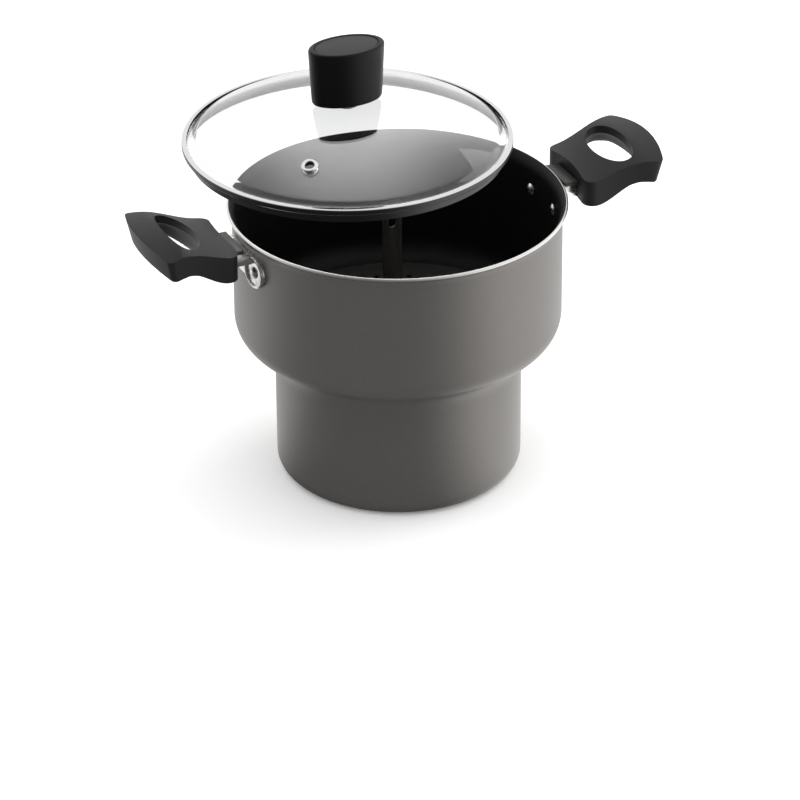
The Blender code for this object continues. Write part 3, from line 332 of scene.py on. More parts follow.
def finished(name, bm, materials, body, nodes, sharp=35.0):
    """Turns a bmesh into a piece that rides on its body and stands for its nodes."""
    mesh = bpy.data.meshes.new(name)
    bm.to_mesh(mesh)
    bm.free()
    for material in materials:
        mesh.materials.append(material)
    mesh.shade_smooth()
    mesh.set_sharp_from_angle(angle=math.radians(sharp))
    piece = link_new(name, mesh)
    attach(piece, body)
    if nodes:
        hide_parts(*nodes)


def principled(name, colour, roughness, metallic):
    """A material with its nodes, its links and its shader."""
    material = bpy.data.materials.new(name)
    material.use_nodes = True
    shader = material.node_tree.nodes["Principled BSDF"]
    shader.inputs["Base Color"].default_value = (*colour, 1.0)
    shader.inputs["Roughness"].default_value = roughness
    shader.inputs["Metallic"].default_value = metallic
    return material, material.node_tree.nodes, material.node_tree.links, shader


def fine_grain_group():
    """Random grain of a coat or a moulding: a mask from 0 to 1 and a height, on Object coordinates."""
    group = bpy.data.node_groups.new("fine_grain", "ShaderNodeTree")
    group.interface.new_socket("Scale", in_out="INPUT", socket_type="NodeSocketFloat")
    group.interface.new_socket("Threshold", in_out="INPUT", socket_type="NodeSocketFloat")
    group.interface.new_socket("Mask", in_out="OUTPUT", socket_type="NodeSocketFloat")
    group.interface.new_socket("Height", in_out="OUTPUT", socket_type="NodeSocketFloat")
    nodes, links = group.nodes, group.links
    given = nodes.new("NodeGroupInput")
    result = nodes.new("NodeGroupOutput")
    place = nodes.new("ShaderNodeTexCoord")
    noise = nodes.new("ShaderNodeTexNoise")
    noise.inputs["Detail"].default_value = 4.0
    links.new(place.outputs["Object"], noise.inputs["Vector"])
    links.new(given.outputs["Scale"], noise.inputs["Scale"])
    window = nodes.new("ShaderNodeMapRange")
    window.interpolation_type = "SMOOTHSTEP"
    above = nodes.new("ShaderNodeMath")
    above.operation = "ADD"
    above.inputs[1].default_value = GRAIN_SOFTNESS
    links.new(given.outputs["Threshold"], above.inputs[0])
    links.new(noise.outputs["Fac"], window.inputs["Value"])
    links.new(given.outputs["Threshold"], window.inputs["From Min"])
    links.new(above.outputs[0], window.inputs["From Max"])
    links.new(window.outputs["Result"], result.inputs["Mask"])
    links.new(noise.outputs["Fac"], result.inputs["Height"])
    return group


def turning_group():
    """Marks of turning round an upright axis: fine rings whose strength wavers, on Object coordinates."""
    group = bpy.data.node_groups.new("turning_marks", "ShaderNodeTree")
    group.interface.new_socket("Centre", in_out="INPUT", socket_type="NodeSocketVector")
    group.interface.new_socket("Rings per metre", in_out="INPUT", socket_type="NodeSocketFloat")
    group.interface.new_socket("Mask", in_out="OUTPUT", socket_type="NodeSocketFloat")
    nodes, links = group.nodes, group.links
    given = nodes.new("NodeGroupInput")
    result = nodes.new("NodeGroupOutput")
    place = nodes.new("ShaderNodeTexCoord")
    centred = nodes.new("ShaderNodeVectorMath")
    centred.operation = "SUBTRACT"
    links.new(place.outputs["Object"], centred.inputs[0])
    links.new(given.outputs["Centre"], centred.inputs[1])
    split = nodes.new("ShaderNodeSeparateXYZ")
    links.new(centred.outputs[0], split.inputs[0])
    flat = nodes.new("ShaderNodeCombineXYZ")
    links.new(split.outputs["X"], flat.inputs["X"])
    links.new(split.outputs["Y"], flat.inputs["Y"])
    radius = nodes.new("ShaderNodeVectorMath")
    radius.operation = "LENGTH"
    links.new(flat.outputs[0], radius.inputs[0])
    section = nodes.new("ShaderNodeCombineXYZ")
    links.new(radius.outputs["Value"], section.inputs["X"])
    links.new(split.outputs["Z"], section.inputs["Y"])
    noise = nodes.new("ShaderNodeTexNoise")
    noise.inputs["Detail"].default_value = 3.0
    links.new(section.outputs[0], noise.inputs["Vector"])
    links.new(given.outputs["Rings per metre"], noise.inputs["Scale"])
    links.new(noise.outputs["Fac"], result.inputs["Mask"])
    return group


FINE_GRAIN = fine_grain_group()
TURNING_MARKS = turning_group()


def add_grain(nodes, scale, threshold):
    grain = nodes.new("ShaderNodeGroup")
    grain.node_tree = FINE_GRAIN
    grain.inputs["Scale"].default_value = scale
    grain.inputs["Threshold"].default_value = threshold
    return grain


def add_turning(nodes, centre, rings):
    marks = nodes.new("ShaderNodeGroup")
    marks.node_tree = TURNING_MARKS
    marks.inputs["Centre"].default_value = centre
    marks.inputs["Rings per metre"].default_value = rings
    return marks


def add_range(nodes, links, source, low, high):
    """Maps a mask from 0 to 1 onto low to high."""
    spread = nodes.new("ShaderNodeMapRange")
    spread.inputs["To Min"].default_value = low
    spread.inputs["To Max"].default_value = high
    links.new(source, spread.inputs["Value"])
    return spread.outputs["Result"]


def add_colour_mix(nodes, links, source, first, second):
    mix = nodes.new("ShaderNodeMix")
    mix.data_type = "RGBA"
    mix.inputs["A"].default_value = (*first, 1.0)
    mix.inputs["B"].default_value = (*second, 1.0)
    links.new(source, mix.inputs["Factor"])
    return mix.outputs["Result"]


def add_bump(nodes, links, shader, height, depth):
    bump = nodes.new("ShaderNodeBump")
    bump.inputs["Distance"].default_value = depth
    bump.inputs["Strength"].default_value = 1.0
    links.new(height, bump.inputs["Height"])
    links.new(bump.outputs["Normal"], shader.inputs["Normal"])


def graphite_coat():
    """Metallic paint: a warm dark grey with a very fine flake and a faint orange peel."""
    material, nodes, links, shader = principled("graphite_coat", GRAPHITE, 0.40, GRAPHITE_METALLIC)
    flake = add_grain(nodes, 2600.0, 0.50)
    light_flake = tuple(1.18 * value for value in GRAPHITE)
    tone = add_colour_mix(nodes, links, flake.outputs["Mask"], GRAPHITE, light_flake)
    links.new(tone, shader.inputs["Base Color"])
    links.new(add_range(nodes, links, flake.outputs["Mask"], 0.38, 0.44), shader.inputs["Roughness"])
    peel = add_grain(nodes, 700.0, 0.5)
    add_bump(nodes, links, shader, peel.outputs["Height"], 0.000015)
    return material


def non_stick_coat():
    """Black non-stick: matte, with sparse grey specks and a slight tooth."""
    material, nodes, links, shader = principled("non_stick_coat", NON_STICK, 0.5, 0.0)
    shader.inputs["Specular IOR Level"].default_value = NON_STICK_SPECULAR
    speck = add_grain(nodes, 1500.0, 0.60)
    tone = add_colour_mix(nodes, links, speck.outputs["Mask"], NON_STICK, SPECK)
    links.new(tone, shader.inputs["Base Color"])
    links.new(add_range(nodes, links, speck.outputs["Mask"], 0.52, 0.38), shader.inputs["Roughness"])
    add_bump(nodes, links, shader, speck.outputs["Height"], 0.00008)
    return material


def turned_aluminium(name, centre):
    """Bare aluminium, bright and satin, with fine rings from the lathe."""
    material, nodes, links, shader = principled(name, BARE_ALUMINIUM, 0.28, 1.0)
    marks = add_turning(nodes, centre, 2200.0)
    dull = tuple(0.86 * value for value in BARE_ALUMINIUM)
    tone = add_colour_mix(nodes, links, marks.outputs["Mask"], dull, BARE_ALUMINIUM)
    links.new(tone, shader.inputs["Base Color"])
    links.new(add_range(nodes, links, marks.outputs["Mask"], 0.20, 0.36), shader.inputs["Roughness"])
    return material


def pot_outside():
    """The outer side from the middle of the sheet's edge down to the middle of the base."""
    flare_outer = FLARE_RADIUS - WALL
    corner = FLARE_CENTRE + ALONG_EDGE * (flare_outer + RIM_ROUND) - OFF_EDGE * RIM_ROUND
    rounding = arc_points(corner, RIM_ROUND, EDGE_DEGREES - 90.0, EDGE_DEGREES - 180.0, 4)
    spared = math.degrees(RIM_ROUND / flare_outer)
    flare = arc_points(FLARE_CENTRE, flare_outer, EDGE_DEGREES + spared, 180.0, 10)
    shoulder = arc_points(SHOULDER_CENTRE, SHOULDER_RADIUS, 0.0, -SHOULDER_SWEEP, 18)
    waist = arc_points(WAIST_CENTRE, WAIST_RADIUS, 180.0 - SHOULDER_SWEEP, 180.0, 18)
    base_centre = (LOWER_RADIUS - BASE_EDGE_RADIUS, BASE_EDGE_RADIUS)
    base = arc_points(base_centre, BASE_EDGE_RADIUS, 0.0, -90.0, 12)
    return rounding[:-1] + flare + shoulder + waist[1:] + base + [(0.0, 0.0)]


def pot_inside():
    """The inner side from the middle of the floor up to the middle of the sheet's edge."""
    inner_edge = BASE_EDGE_RADIUS - WALL
    base_centre = (LOWER_RADIUS - BASE_EDGE_RADIUS, BASE_THICKNESS + inner_edge)
    base = arc_points(base_centre, inner_edge, -90.0, 0.0, 10)
    waist = arc_points(WAIST_CENTRE, WAIST_RADIUS + WALL, 180.0, 180.0 - SHOULDER_SWEEP, 18)
    shoulder = arc_points(SHOULDER_CENTRE, SHOULDER_RADIUS - WALL, -SHOULDER_SWEEP, 0.0, 18)
    spared = math.degrees(RIM_ROUND / FLARE_RADIUS)
    flare = arc_points(FLARE_CENTRE, FLARE_RADIUS, 180.0, EDGE_DEGREES + spared, 10)
    corner = FLARE_CENTRE + ALONG_EDGE * (FLARE_RADIUS - RIM_ROUND) - OFF_EDGE * RIM_ROUND
    rounding = arc_points(corner, RIM_ROUND, EDGE_DEGREES, EDGE_DEGREES - 90.0, 4)
    return [(0.0, BASE_THICKNESS)] + base + waist + shoulder[1:] + flare + rounding[1:]


def pot_side(face):
    """0 for the coated outside, 1 for the non-stick inside, 2 for the bare edge."""
    middle = face.calc_center_median()
    across = Vector((math.hypot(middle.x, middle.y), middle.z)) - FLARE_CENTRE
    if across.y > 0.0 and across.dot(OFF_EDGE) > -RIM_ROUND:
        return 2
    outward = Vector((middle.x, middle.y, 0.0)).dot(face.normal) > 0.0
    return 0 if outward or face.normal.z < -0.2 else 1


pot = turned(pot_outside() + pot_inside(), ROUND_STEPS, closed=True)
for face in pot.faces:
    face.material_index = pot_side(face)
bare_rim = turned_aluminium("turned_rim", (0.0, 0.0, 0.0))
finished(
    "pot", pot, [graphite_coat(), non_stick_coat(), bare_rim], "pot", ["pot_body"], 40.0
)

# Steam plate and stem: a dark coated disc, punched with rings of steam holes, that lies on the shoulder.
# A slotted strap stands on it, its foot held by two small rivets, and lifts the plate out.

PLATE_LOW, PLATE_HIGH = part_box("steam_plate")
PLATE_RADIUS = PLATE_HIGH.x
HOLE_RADIUS = 0.0019
HOLE_RING_PITCH = 0.015
HOLE_RING_INNER = 0.022
HOLE_SPACING = 0.0195
HOLE_EDGE_MARGIN = 0.007
HOLE_SIDES = 20
PLATE_SIDES = 160
SOFT_EDGE = 0.0003
DARK_METAL = (0.040, 0.039, 0.036)


def dark_coat():
    """Dark satin paint on pressed metal, with a faint tooth."""
    material, nodes, links, shader = principled("dark_coat", DARK_METAL, 0.42, 0.2)
    tooth = add_grain(nodes, 1200.0, 0.5)
    lighter = tuple(1.35 * value for value in DARK_METAL)
    tone = add_colour_mix(nodes, links, tooth.outputs["Mask"], DARK_METAL, lighter)
    links.new(tone, shader.inputs["Base Color"])
    links.new(add_range(nodes, links, tooth.outputs["Mask"], 0.38, 0.48), shader.inputs["Roughness"])
    add_bump(nodes, links, shader, tooth.outputs["Height"], 0.00003)
    return material


def softened(node, width, segments=2):
    """A copy of a flat-sided node with its flats merged and its edges rounded."""
    bm = bmesh.new()
    bm.from_mesh(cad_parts[node].data)
    bmesh.ops.remove_doubles(bm, verts=bm.verts, dist=0.00001)
    bmesh.ops.dissolve_limit(bm, angle_limit=math.radians(1.0), verts=bm.verts, edges=bm.edges)
    edges = [edge for edge in bm.edges if edge.calc_face_angle(0.0) > math.radians(40.0)]
    bmesh.ops.bevel(
        bm, geom=edges, offset=width, offset_type="OFFSET", segments=segments, profile=0.5,
        affect="EDGES", clamp_overlap=True, material=-1,
    )
    return bm


def punched_plate():
    """A disc with its rings of holes, drawn as edge loops, filled and given its thickness."""
    bm = bmesh.new()
    bmesh.ops.create_circle(bm, segments=PLATE_SIDES, radius=PLATE_RADIUS)
    radius = HOLE_RING_INNER
    ring = 0
    while radius + HOLE_RADIUS < PLATE_RADIUS - HOLE_EDGE_MARGIN:
        count = int(math.tau * radius / HOLE_SPACING)
        for i in range(count):
            angle = math.tau * (i + 0.5 * (ring % 2)) / count
            place = Matrix.Translation((radius * math.cos(angle), radius * math.sin(angle), 0.0))
            bmesh.ops.create_circle(bm, segments=HOLE_SIDES, radius=HOLE_RADIUS, matrix=place)
        ring += 1
        radius = HOLE_RING_INNER + ring * HOLE_RING_PITCH
    bmesh.ops.triangle_fill(bm, use_beauty=True, use_dissolve=False, edges=bm.edges)
    bmesh.ops.translate(bm, verts=bm.verts, vec=(0.0, 0.0, PLATE_LOW.z))
    grown = bmesh.ops.extrude_face_region(bm, geom=list(bm.faces))
    raised = [item for item in grown["geom"] if isinstance(item, bmesh.types.BMVert)]
    bmesh.ops.translate(bm, verts=raised, vec=(0.0, 0.0, PLATE_HIGH.z - PLATE_LOW.z))
    bmesh.ops.recalc_face_normals(bm, faces=bm.faces)
    return bm


dark_metal = dark_coat()
finished("plate", punched_plate(), [dark_metal], "plate", ["steam_plate"])
finished("stem", softened("plate_stem", SOFT_EDGE), [dark_metal], "plate", ["plate_stem"])
for place in ("front", "rear"):
    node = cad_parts[f"stem_rivet_{place}"]
    node.data.materials.clear()
    node.data.materials.append(turned_aluminium(f"stem_rivet_metal_{place}", (0.0, 0.0, 0.0)))

# Handle brackets: bright cast aluminium, with two round ears riveted to the wall and a neck under the
# rim's overhang. Each ear has a raised edge, and a dark pressed cap covers the top of the neck.

HANDLE_TURNS = {"right": 0.0, "left": math.pi}
RIVET_HALF_SPACING = 0.0157
RIVET_BELOW_RIM = 0.0195
RIVET_HEAD = 0.0037
RIVET_RISE = 0.0017
RIVET_SHANK = 0.0022
EAR_RADIUS = 0.0098
EAR_THICKNESS = 0.0018
EAR_SEAT = 0.0016
EAR_EDGE = 0.0009
CAP_EDGE = 0.00035
FIT_GAP = 0.0003


def bright_aluminium():
    """Bare cast aluminium, bright from barrel polishing, with soft mottling."""
    material, nodes, links, shader = principled("bright_aluminium", BARE_ALUMINIUM, 0.26, 1.0)
    mottle = add_grain(nodes, 420.0, 0.48)
    dull = tuple(0.80 * value for value in BARE_ALUMINIUM)
    tone = add_colour_mix(nodes, links, mottle.outputs["Mask"], BARE_ALUMINIUM, dull)
    links.new(tone, shader.inputs["Base Color"])
    links.new(add_range(nodes, links, mottle.outputs["Mask"], 0.20, 0.34), shader.inputs["Roughness"])
    add_bump(nodes, links, shader, mottle.outputs["Height"], 0.00006)
    return material


def on_the_wall(turn, across, out):
    """A frame on the wall at a rivet: local Z points outwards, at a radius out from the pot's axis."""
    angle = turn + math.asin(across / WALL_RADIUS)
    lie = Matrix.Rotation(math.radians(90.0), 4, "Y")
    lift = Matrix.Translation((0.0, 0.0, out))
    return (
        Matrix.Translation((0.0, 0.0, POT_HEIGHT - RIVET_BELOW_RIM))
        @ Matrix.Rotation(angle, 4, "Z")
        @ lie
        @ lift
    )


def dome_head(radius, rise):
    """The outline of a rivet's head, a low dome, from its crown to its edge."""
    crown = (radius**2 + rise**2) / (2.0 * rise)
    edge = math.degrees(math.asin(radius / crown))
    return arc_points((0.0, rise - crown), crown, 90.0, 90.0 - edge, 8)


def rivet():
    """A rivet through ear and wall, with a low dome at each end."""
    head = dome_head(RIVET_HEAD, RIVET_RISE)
    outer_seat = WALL_RADIUS + EAR_SEAT + 2.0 * FIT_GAP
    inner_seat = WALL_RADIUS - WALL
    outer = [(radius, outer_seat + height) for radius, height in head]
    inner = [(radius, inner_seat - height) for radius, height in reversed(head)]
    shank = [(RIVET_SHANK, outer[-1][1]), (RIVET_SHANK, inner_seat)]
    return turned(outer + shank + inner, 40)


def ear_edge():
    """The raised, rounded edge that runs round an ear."""
    middle = (EAR_RADIUS - EAR_EDGE, 0.0)
    return turned(arc_points(middle, EAR_EDGE, 0.0, 360.0, 14)[:-1], 72, closed=True)


bright_metal = bright_aluminium()
for side, turn in HANDLE_TURNS.items():
    finished(
        f"bracket_casting_{side}", softened(f"bracket_{side}", SOFT_EDGE), [bright_metal], "pot",
        [f"bracket_{side}"],
    )
    finished(
        f"neck_cap_{side}", softened(f"neck_cover_{side}", CAP_EDGE, 3), [dark_metal], "pot",
        [f"neck_cover_{side}"],
    )
    for place, across in (("front", -RIVET_HALF_SPACING), ("rear", RIVET_HALF_SPACING)):
        pin = rivet()
        bmesh.ops.transform(pin, matrix=on_the_wall(turn, across, 0.0), verts=pin.verts)
        finished(
            f"handle_rivet_{side}_{place}", pin, [bright_metal], "pot",
            [f"rivet_{side}_{place}"], 50.0,
        )
        edge = ear_edge()
        seat = WALL_RADIUS + FIT_GAP + EAR_THICKNESS
        bmesh.ops.transform(edge, matrix=on_the_wall(turn, across, seat), verts=edge.verts)
        finished(f"ear_edge_{side}_{place}", edge, [bright_metal], "pot", [])

# Grips: black phenolic mouldings that climb from the neck and thin towards a bowed outer end.
# A leaf-shaped finger hole goes through each, and a screw from below holds it on the bracket's tongue.

GRIP_STANDOFF = 0.0135
GRIP_INNER = WALL_RADIUS + GRIP_STANDOFF
GRIP_LENGTH = 0.0545
GRIP_INNER_HALF = 0.0288
GRIP_OUTER_HALF = 0.0365
GRIP_BOW = 0.0070
GRIP_DRAFT = 0.0030
GRIP_SIDE_DRAFT = 0.05
GRIP_DISH = 0.0020
GRIP_INNER_ROUND = 0.0065
GRIP_OUTER_ROUND = 0.0030
GRIP_WAIST = 0.0028
GRIP_CROWN = 0.0042
GRIP_TOP = (0.0024, 0.0130)
GRIP_BOTTOM = (-0.0160, -0.0008)
GRIP_TOP_CLIMB = (0.0, 0.042)
GRIP_BOTTOM_CLIMB = (0.0065, 0.036)
GRIP_EDGE_ROUND = 0.0026
GRIP_EDGE_STEPS = 5
GRIP_POINTS = 176
GRIP_ROWS = 9
BOW_STEPS = 16
DISH_STEPS = 12
HOLE_MIDDLE = 0.0280
HOLE_HALF_WIDTH = 0.0102
HOLE_HALF_LENGTH = 0.0245
HOLE_BOW = 0.0015
HOLE_SIDE_POWER = 0.97
HOLE_WALL = 0.0050
UNDERCUT = 0.0068
FIXING_EDGE = 0.0002
BAKELITE = (0.015, 0.015, 0.015)
MOULDING_SPECULAR = 0.24


def moulded_black(name, colour, roughness):
    """Phenolic moulding: nearly black, satin, with a very fine matte tooth."""
    material, nodes, links, shader = principled(name, colour, roughness, 0.0)
    shader.inputs["Specular IOR Level"].default_value = MOULDING_SPECULAR
    tooth = add_grain(nodes, 1700.0, 0.5)
    lighter = tuple(1.25 * value for value in colour)
    tone = add_colour_mix(nodes, links, tooth.outputs["Mask"], colour, lighter)
    links.new(tone, shader.inputs["Base Color"])
    rough = add_range(nodes, links, tooth.outputs["Mask"], roughness - 0.04, roughness + 0.05)
    links.new(rough, shader.inputs["Roughness"])
    add_bump(nodes, links, shader, tooth.outputs["Height"], 0.00003)
    return material


def rounded(corners, steps):
    """A closed outline whose corners (x, y, radius) are rounded by arcs."""
    outline = []
    for i, (x, y, radius) in enumerate(corners):
        here = Vector((x, y))
        if radius == 0.0:
            outline.append(here)
            continue
        back = (Vector(corners[i - 1][:2]) - here).normalized()
        on = (Vector(corners[(i + 1) % len(corners)][:2]) - here).normalized()
        half = back.angle(on) / 2.0
        start = here + back * (radius / math.tan(half))
        end = here + on * (radius / math.tan(half))
        centre = here + (back + on).normalized() * (radius / math.sin(half))
        swing = (start - centre).angle_signed(end - centre)
        for k in range(steps + 1):
            spoke = start - centre
            spoke.rotate(Matrix.Rotation(-swing * k / steps, 2))
            outline.append(centre + spoke)
    return outline


def evenly(outline, count):
    """The outline walked once round in equal steps."""
    closed = outline + [outline[0]]
    lengths = [(b - a).length for a, b in zip(closed, closed[1:])]
    stride = sum(lengths) / count
    points = []
    walked = 0.0
    leg = 0
    for i in range(count):
        target = i * stride
        while walked + lengths[leg] < target:
            walked += lengths[leg]
            leg += 1
        points.append(closed[leg].lerp(closed[leg + 1], (target - walked) / lengths[leg]))
    return points


def bow_reach(y):
    """How far out the grip's bowed end stands at a place across it."""
    bow_radius = (GRIP_OUTER_HALF**2 + GRIP_BOW**2) / (2.0 * GRIP_BOW)
    return GRIP_LENGTH - bow_radius + math.sqrt(bow_radius**2 - y**2)


def grip_plan():
    """The grip from above, counter-clockwise from the middle of its outer end."""
    corner = GRIP_LENGTH - GRIP_BOW
    dish_half = GRIP_INNER_HALF - GRIP_INNER_ROUND
    bow = [GRIP_OUTER_HALF * i / BOW_STEPS for i in range(BOW_STEPS)]
    side = []
    for i in range(2, 9):
        share = i / 10.0
        y = GRIP_OUTER_HALF + (GRIP_INNER_HALF - GRIP_OUTER_HALF) * share
        side.append((corner * (1.0 - share), y - GRIP_WAIST * math.sin(math.pi * share)))
    corners = [(bow_reach(y), y, 0.0) for y in bow]
    corners.append((corner, GRIP_OUTER_HALF, GRIP_OUTER_ROUND))
    corners += [(x, y, 0.0) for x, y in side]
    corners.append((0.0, GRIP_INNER_HALF, GRIP_INNER_ROUND))
    for i in range(1, 2 * DISH_STEPS):
        y = dish_half * (1.0 - i / DISH_STEPS)
        corners.append((GRIP_DISH * (1.0 - (y / dish_half) ** 2), y, 0.0))
    corners.append((0.0, -GRIP_INNER_HALF, GRIP_INNER_ROUND))
    corners += [(x, -y, 0.0) for x, y in reversed(side)]
    corners.append((corner, -GRIP_OUTER_HALF, GRIP_OUTER_ROUND))
    corners += [(bow_reach(y), -y, 0.0) for y in reversed(bow[1:])]
    return evenly(rounded(corners, 10), GRIP_POINTS)


def finger_hole():
    """The leaf-shaped hole, in step with the plan's points."""
    points = []
    for i in range(GRIP_POINTS):
        angle = math.tau * i / GRIP_POINTS
        across = math.copysign(abs(math.cos(angle)) ** HOLE_SIDE_POWER, math.cos(angle))
        x = HOLE_MIDDLE + HOLE_HALF_WIDTH * across + HOLE_BOW * math.sin(angle) ** 2
        points.append(Vector((x, HOLE_HALF_LENGTH * math.sin(angle))))
    return points


def climb(x, start, end, low, high):
    """Eases from low to high between two distances along the grip."""
    share = min(max((x - start) / (end - start), 0.0), 1.0)
    return low + (high - low) * (1.0 - math.cos(math.pi * share)) / 2.0


def undercut_shares(verts):
    """For each vertex how far it belongs to the widening under the hole: 1 at the hole, 0 away from it."""
    points = finger_hole()
    tree = kdtree.KDTree(len(points))
    for i, point in enumerate(points):
        tree.insert((point.x, point.y, 0.0), i)
    tree.balance()
    shares = {}
    for vert in verts:
        away = tree.find((vert.co.x, vert.co.y, 0.0))[2]
        shares[vert] = climb(away, 0.0, UNDERCUT, 1.0, 0.0)
    return shares


def grip():
    """A flat ring between plan and hole, stepped in for its rounded edges, thickened and bent to shape."""
    bm = bmesh.new()
    inset_so_far = bm.verts.layers.float.new("inset_so_far")
    loops = []
    for outline in (grip_plan(), finger_hole()):
        verts = [bm.verts.new((point.x, point.y, 0.0)) for point in outline]
        loops += [bm.edges.new(pair) for pair in zip(verts, verts[1:] + verts[:1])]
    bmesh.ops.bridge_loops(bm, edges=loops)
    inset = 0.0
    for step in range(1, GRIP_EDGE_STEPS + 1):
        angle = math.pi / 2.0 * step / GRIP_EDGE_STEPS
        reach = GRIP_EDGE_ROUND * (1.0 - math.cos(angle))
        inner = [face for face in bm.faces if not face.tag]
        result = bmesh.ops.inset_region(
            bm, faces=inner, thickness=reach - inset, use_even_offset=True, use_boundary=True
        )
        inset = reach
        for face in result["faces"]:
            face.tag = True
        for face in bm.faces:
            if not face.tag:
                for vert in face.verts:
                    vert[inset_so_far] = inset
    core = [face for face in bm.faces if not face.tag]
    lengthwise = [
        edge for edge in {edge for face in core for edge in face.edges}
        if sum(1 for face in edge.link_faces if not face.tag) == 2
    ]
    bmesh.ops.subdivide_edges(bm, edges=lengthwise, cuts=GRIP_ROWS, use_grid_fill=True)
    grown = bmesh.ops.extrude_face_region(bm, geom=list(bm.faces))
    lower = {item for item in grown["geom"] if isinstance(item, bmesh.types.BMVert)}
    shares = undercut_shares(lower)
    hole_outer = HOLE_MIDDLE + HOLE_HALF_WIDTH + HOLE_BOW
    for vert in bm.verts:
        step_in = min(vert[inset_so_far], GRIP_EDGE_ROUND)
        rest = GRIP_EDGE_ROUND - step_in
        fall = GRIP_EDGE_ROUND - math.sqrt(max(GRIP_EDGE_ROUND**2 - rest**2, 0.0))
        crown = GRIP_CROWN * (vert.co.y / GRIP_OUTER_HALF) ** 2
        top = climb(vert.co.x, *GRIP_TOP_CLIMB, *GRIP_TOP) - crown
        if vert in lower:
            crowned = climb(vert.co.x, *GRIP_BOTTOM_CLIMB, 0.0, crown)
            under = climb(vert.co.x, *GRIP_BOTTOM_CLIMB, *GRIP_BOTTOM) - crowned + fall
            raised = top - HOLE_WALL
            vert.co.z = POT_HEIGHT + under + (raised - under) * shares[vert]
            drafted = climb(vert.co.x, hole_outer, GRIP_LENGTH - GRIP_BOW, 0.0, 1.0)
            vert.co.x -= GRIP_DRAFT * drafted
            vert.co.y *= 1.0 - GRIP_SIDE_DRAFT * drafted
        else:
            vert.co.z = POT_HEIGHT + top - fall
        vert.co.x += GRIP_INNER
    bmesh.ops.recalc_face_normals(bm, faces=bm.faces)
    return bm


black_moulding = moulded_black("black_moulding", BAKELITE, 0.50)
for side, turn in HANDLE_TURNS.items():
    moulding = grip()
    bmesh.ops.rotate(moulding, matrix=Matrix.Rotation(turn, 3, "Z"), verts=moulding.verts)
    finished(f"side_grip_{side}", moulding, [black_moulding], "pot", [f"grip_{side}"], 60.0)
    finished(
        f"grip_fixing_{side}", softened(f"grip_screw_{side}", FIXING_EDGE), [bright_metal], "pot",
        [f"grip_screw_{side}"],
    )

# Lid glass: tempered glass with a flat edge, a steep shoulder and a domed middle, bored for the knob's
# screw. It is clear, so it shows the dark pot below, under a veil of what it mirrors.

RIM_LOW, RIM_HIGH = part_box("lid_rim")
LID_CENTRE = Vector(((RIM_LOW.x + RIM_HIGH.x) / 2.0, 0.0, 0.0))
LID_RADIUS = (RIM_HIGH.x - RIM_LOW.x) / 2.0
SKIRT_DEPTH = 0.0055
HEM_Z = RIM_LOW.z + SKIRT_DEPTH
RING_SHEET = 0.0004
GLASS = 0.0026
GLASS_BOTTOM = RING_SHEET + FIT_GAP
GLASS_TOP = GLASS_BOTTOM + GLASS
BEND_FROM_EDGE = 0.0036
BEND_WIDTH = 0.0051
BEND_HEIGHT = 0.0035
BEND_INNER = LID_RADIUS - BEND_FROM_EDGE - BEND_WIDTH
DOME_HEIGHT = 0.0271
KNOB_SEAT = 0.0125
DOME_SPAN = BEND_INNER - KNOB_SEAT
DOME_SAG = DOME_HEIGHT - (GLASS_TOP + BEND_HEIGHT)
DOME_RADIUS = (DOME_SPAN**2 + DOME_SAG**2) / (2.0 * DOME_SAG)
SCREW_RADIUS = 0.0016
CLEAR_GLASS = (0.985, 0.992, 0.990)


def clear_glass():
    """Clear soda glass with a slight green in its depth."""
    material, _, _, shader = principled("clear_glass", CLEAR_GLASS, 0.0, 0.0)
    shader.inputs["Transmission Weight"].default_value = 1.0
    shader.inputs["IOR"].default_value = 1.5
    return material


def dome_height(out):
    """The height of the dome's upper side at a distance out from the knob's seat."""
    return DOME_HEIGHT - DOME_RADIUS + math.sqrt(DOME_RADIUS**2 - out**2)


def glass_top_side():
    """The dome's upper side, from its bore out to its flat edge."""
    points = [(SCREW_RADIUS + 4.0 * FIT_GAP, DOME_HEIGHT), (KNOB_SEAT, DOME_HEIGHT)]
    for i in range(1, 25):
        out = DOME_SPAN * i / 24.0
        points.append((KNOB_SEAT + out, dome_height(out)))
    slope = DOME_SPAN / DOME_RADIUS
    for i in range(1, 9):
        share = i / 8.0
        eased = share**2 * (3.0 - 2.0 * share)
        fall = BEND_HEIGHT * eased + slope * BEND_WIDTH * share * (1.0 - share) ** 2
        points.append((BEND_INNER + BEND_WIDTH * share, GLASS_TOP + BEND_HEIGHT - fall))
    points.append((LID_RADIUS - RING_SHEET - FIT_GAP, GLASS_TOP))
    return points


def sunk(points, depth):
    """The same line a depth below, measured square to it."""
    lowered = []
    for i, point in enumerate(points):
        back = Vector(points[max(i - 1, 0)])
        on = Vector(points[min(i + 1, len(points) - 1)])
        course = (on - back).normalized()
        lowered.append((point[0] + course.y * depth, point[1] - course.x * depth))
    return lowered


def on_the_lid(bm):
    """Moves a shape from the lid's own frame to the lid's place."""
    bmesh.ops.translate(bm, verts=bm.verts, vec=LID_CENTRE + Vector((0.0, 0.0, HEM_Z)))
    return bm


glass_line = glass_top_side()
glass_section = glass_line + list(reversed(sunk(glass_line, GLASS)))
glass = on_the_lid(turned(glass_section, ROUND_STEPS, closed=True))
finished("dome_glass", glass, [clear_glass()], "lid", ["lid_glass"], 50.0)
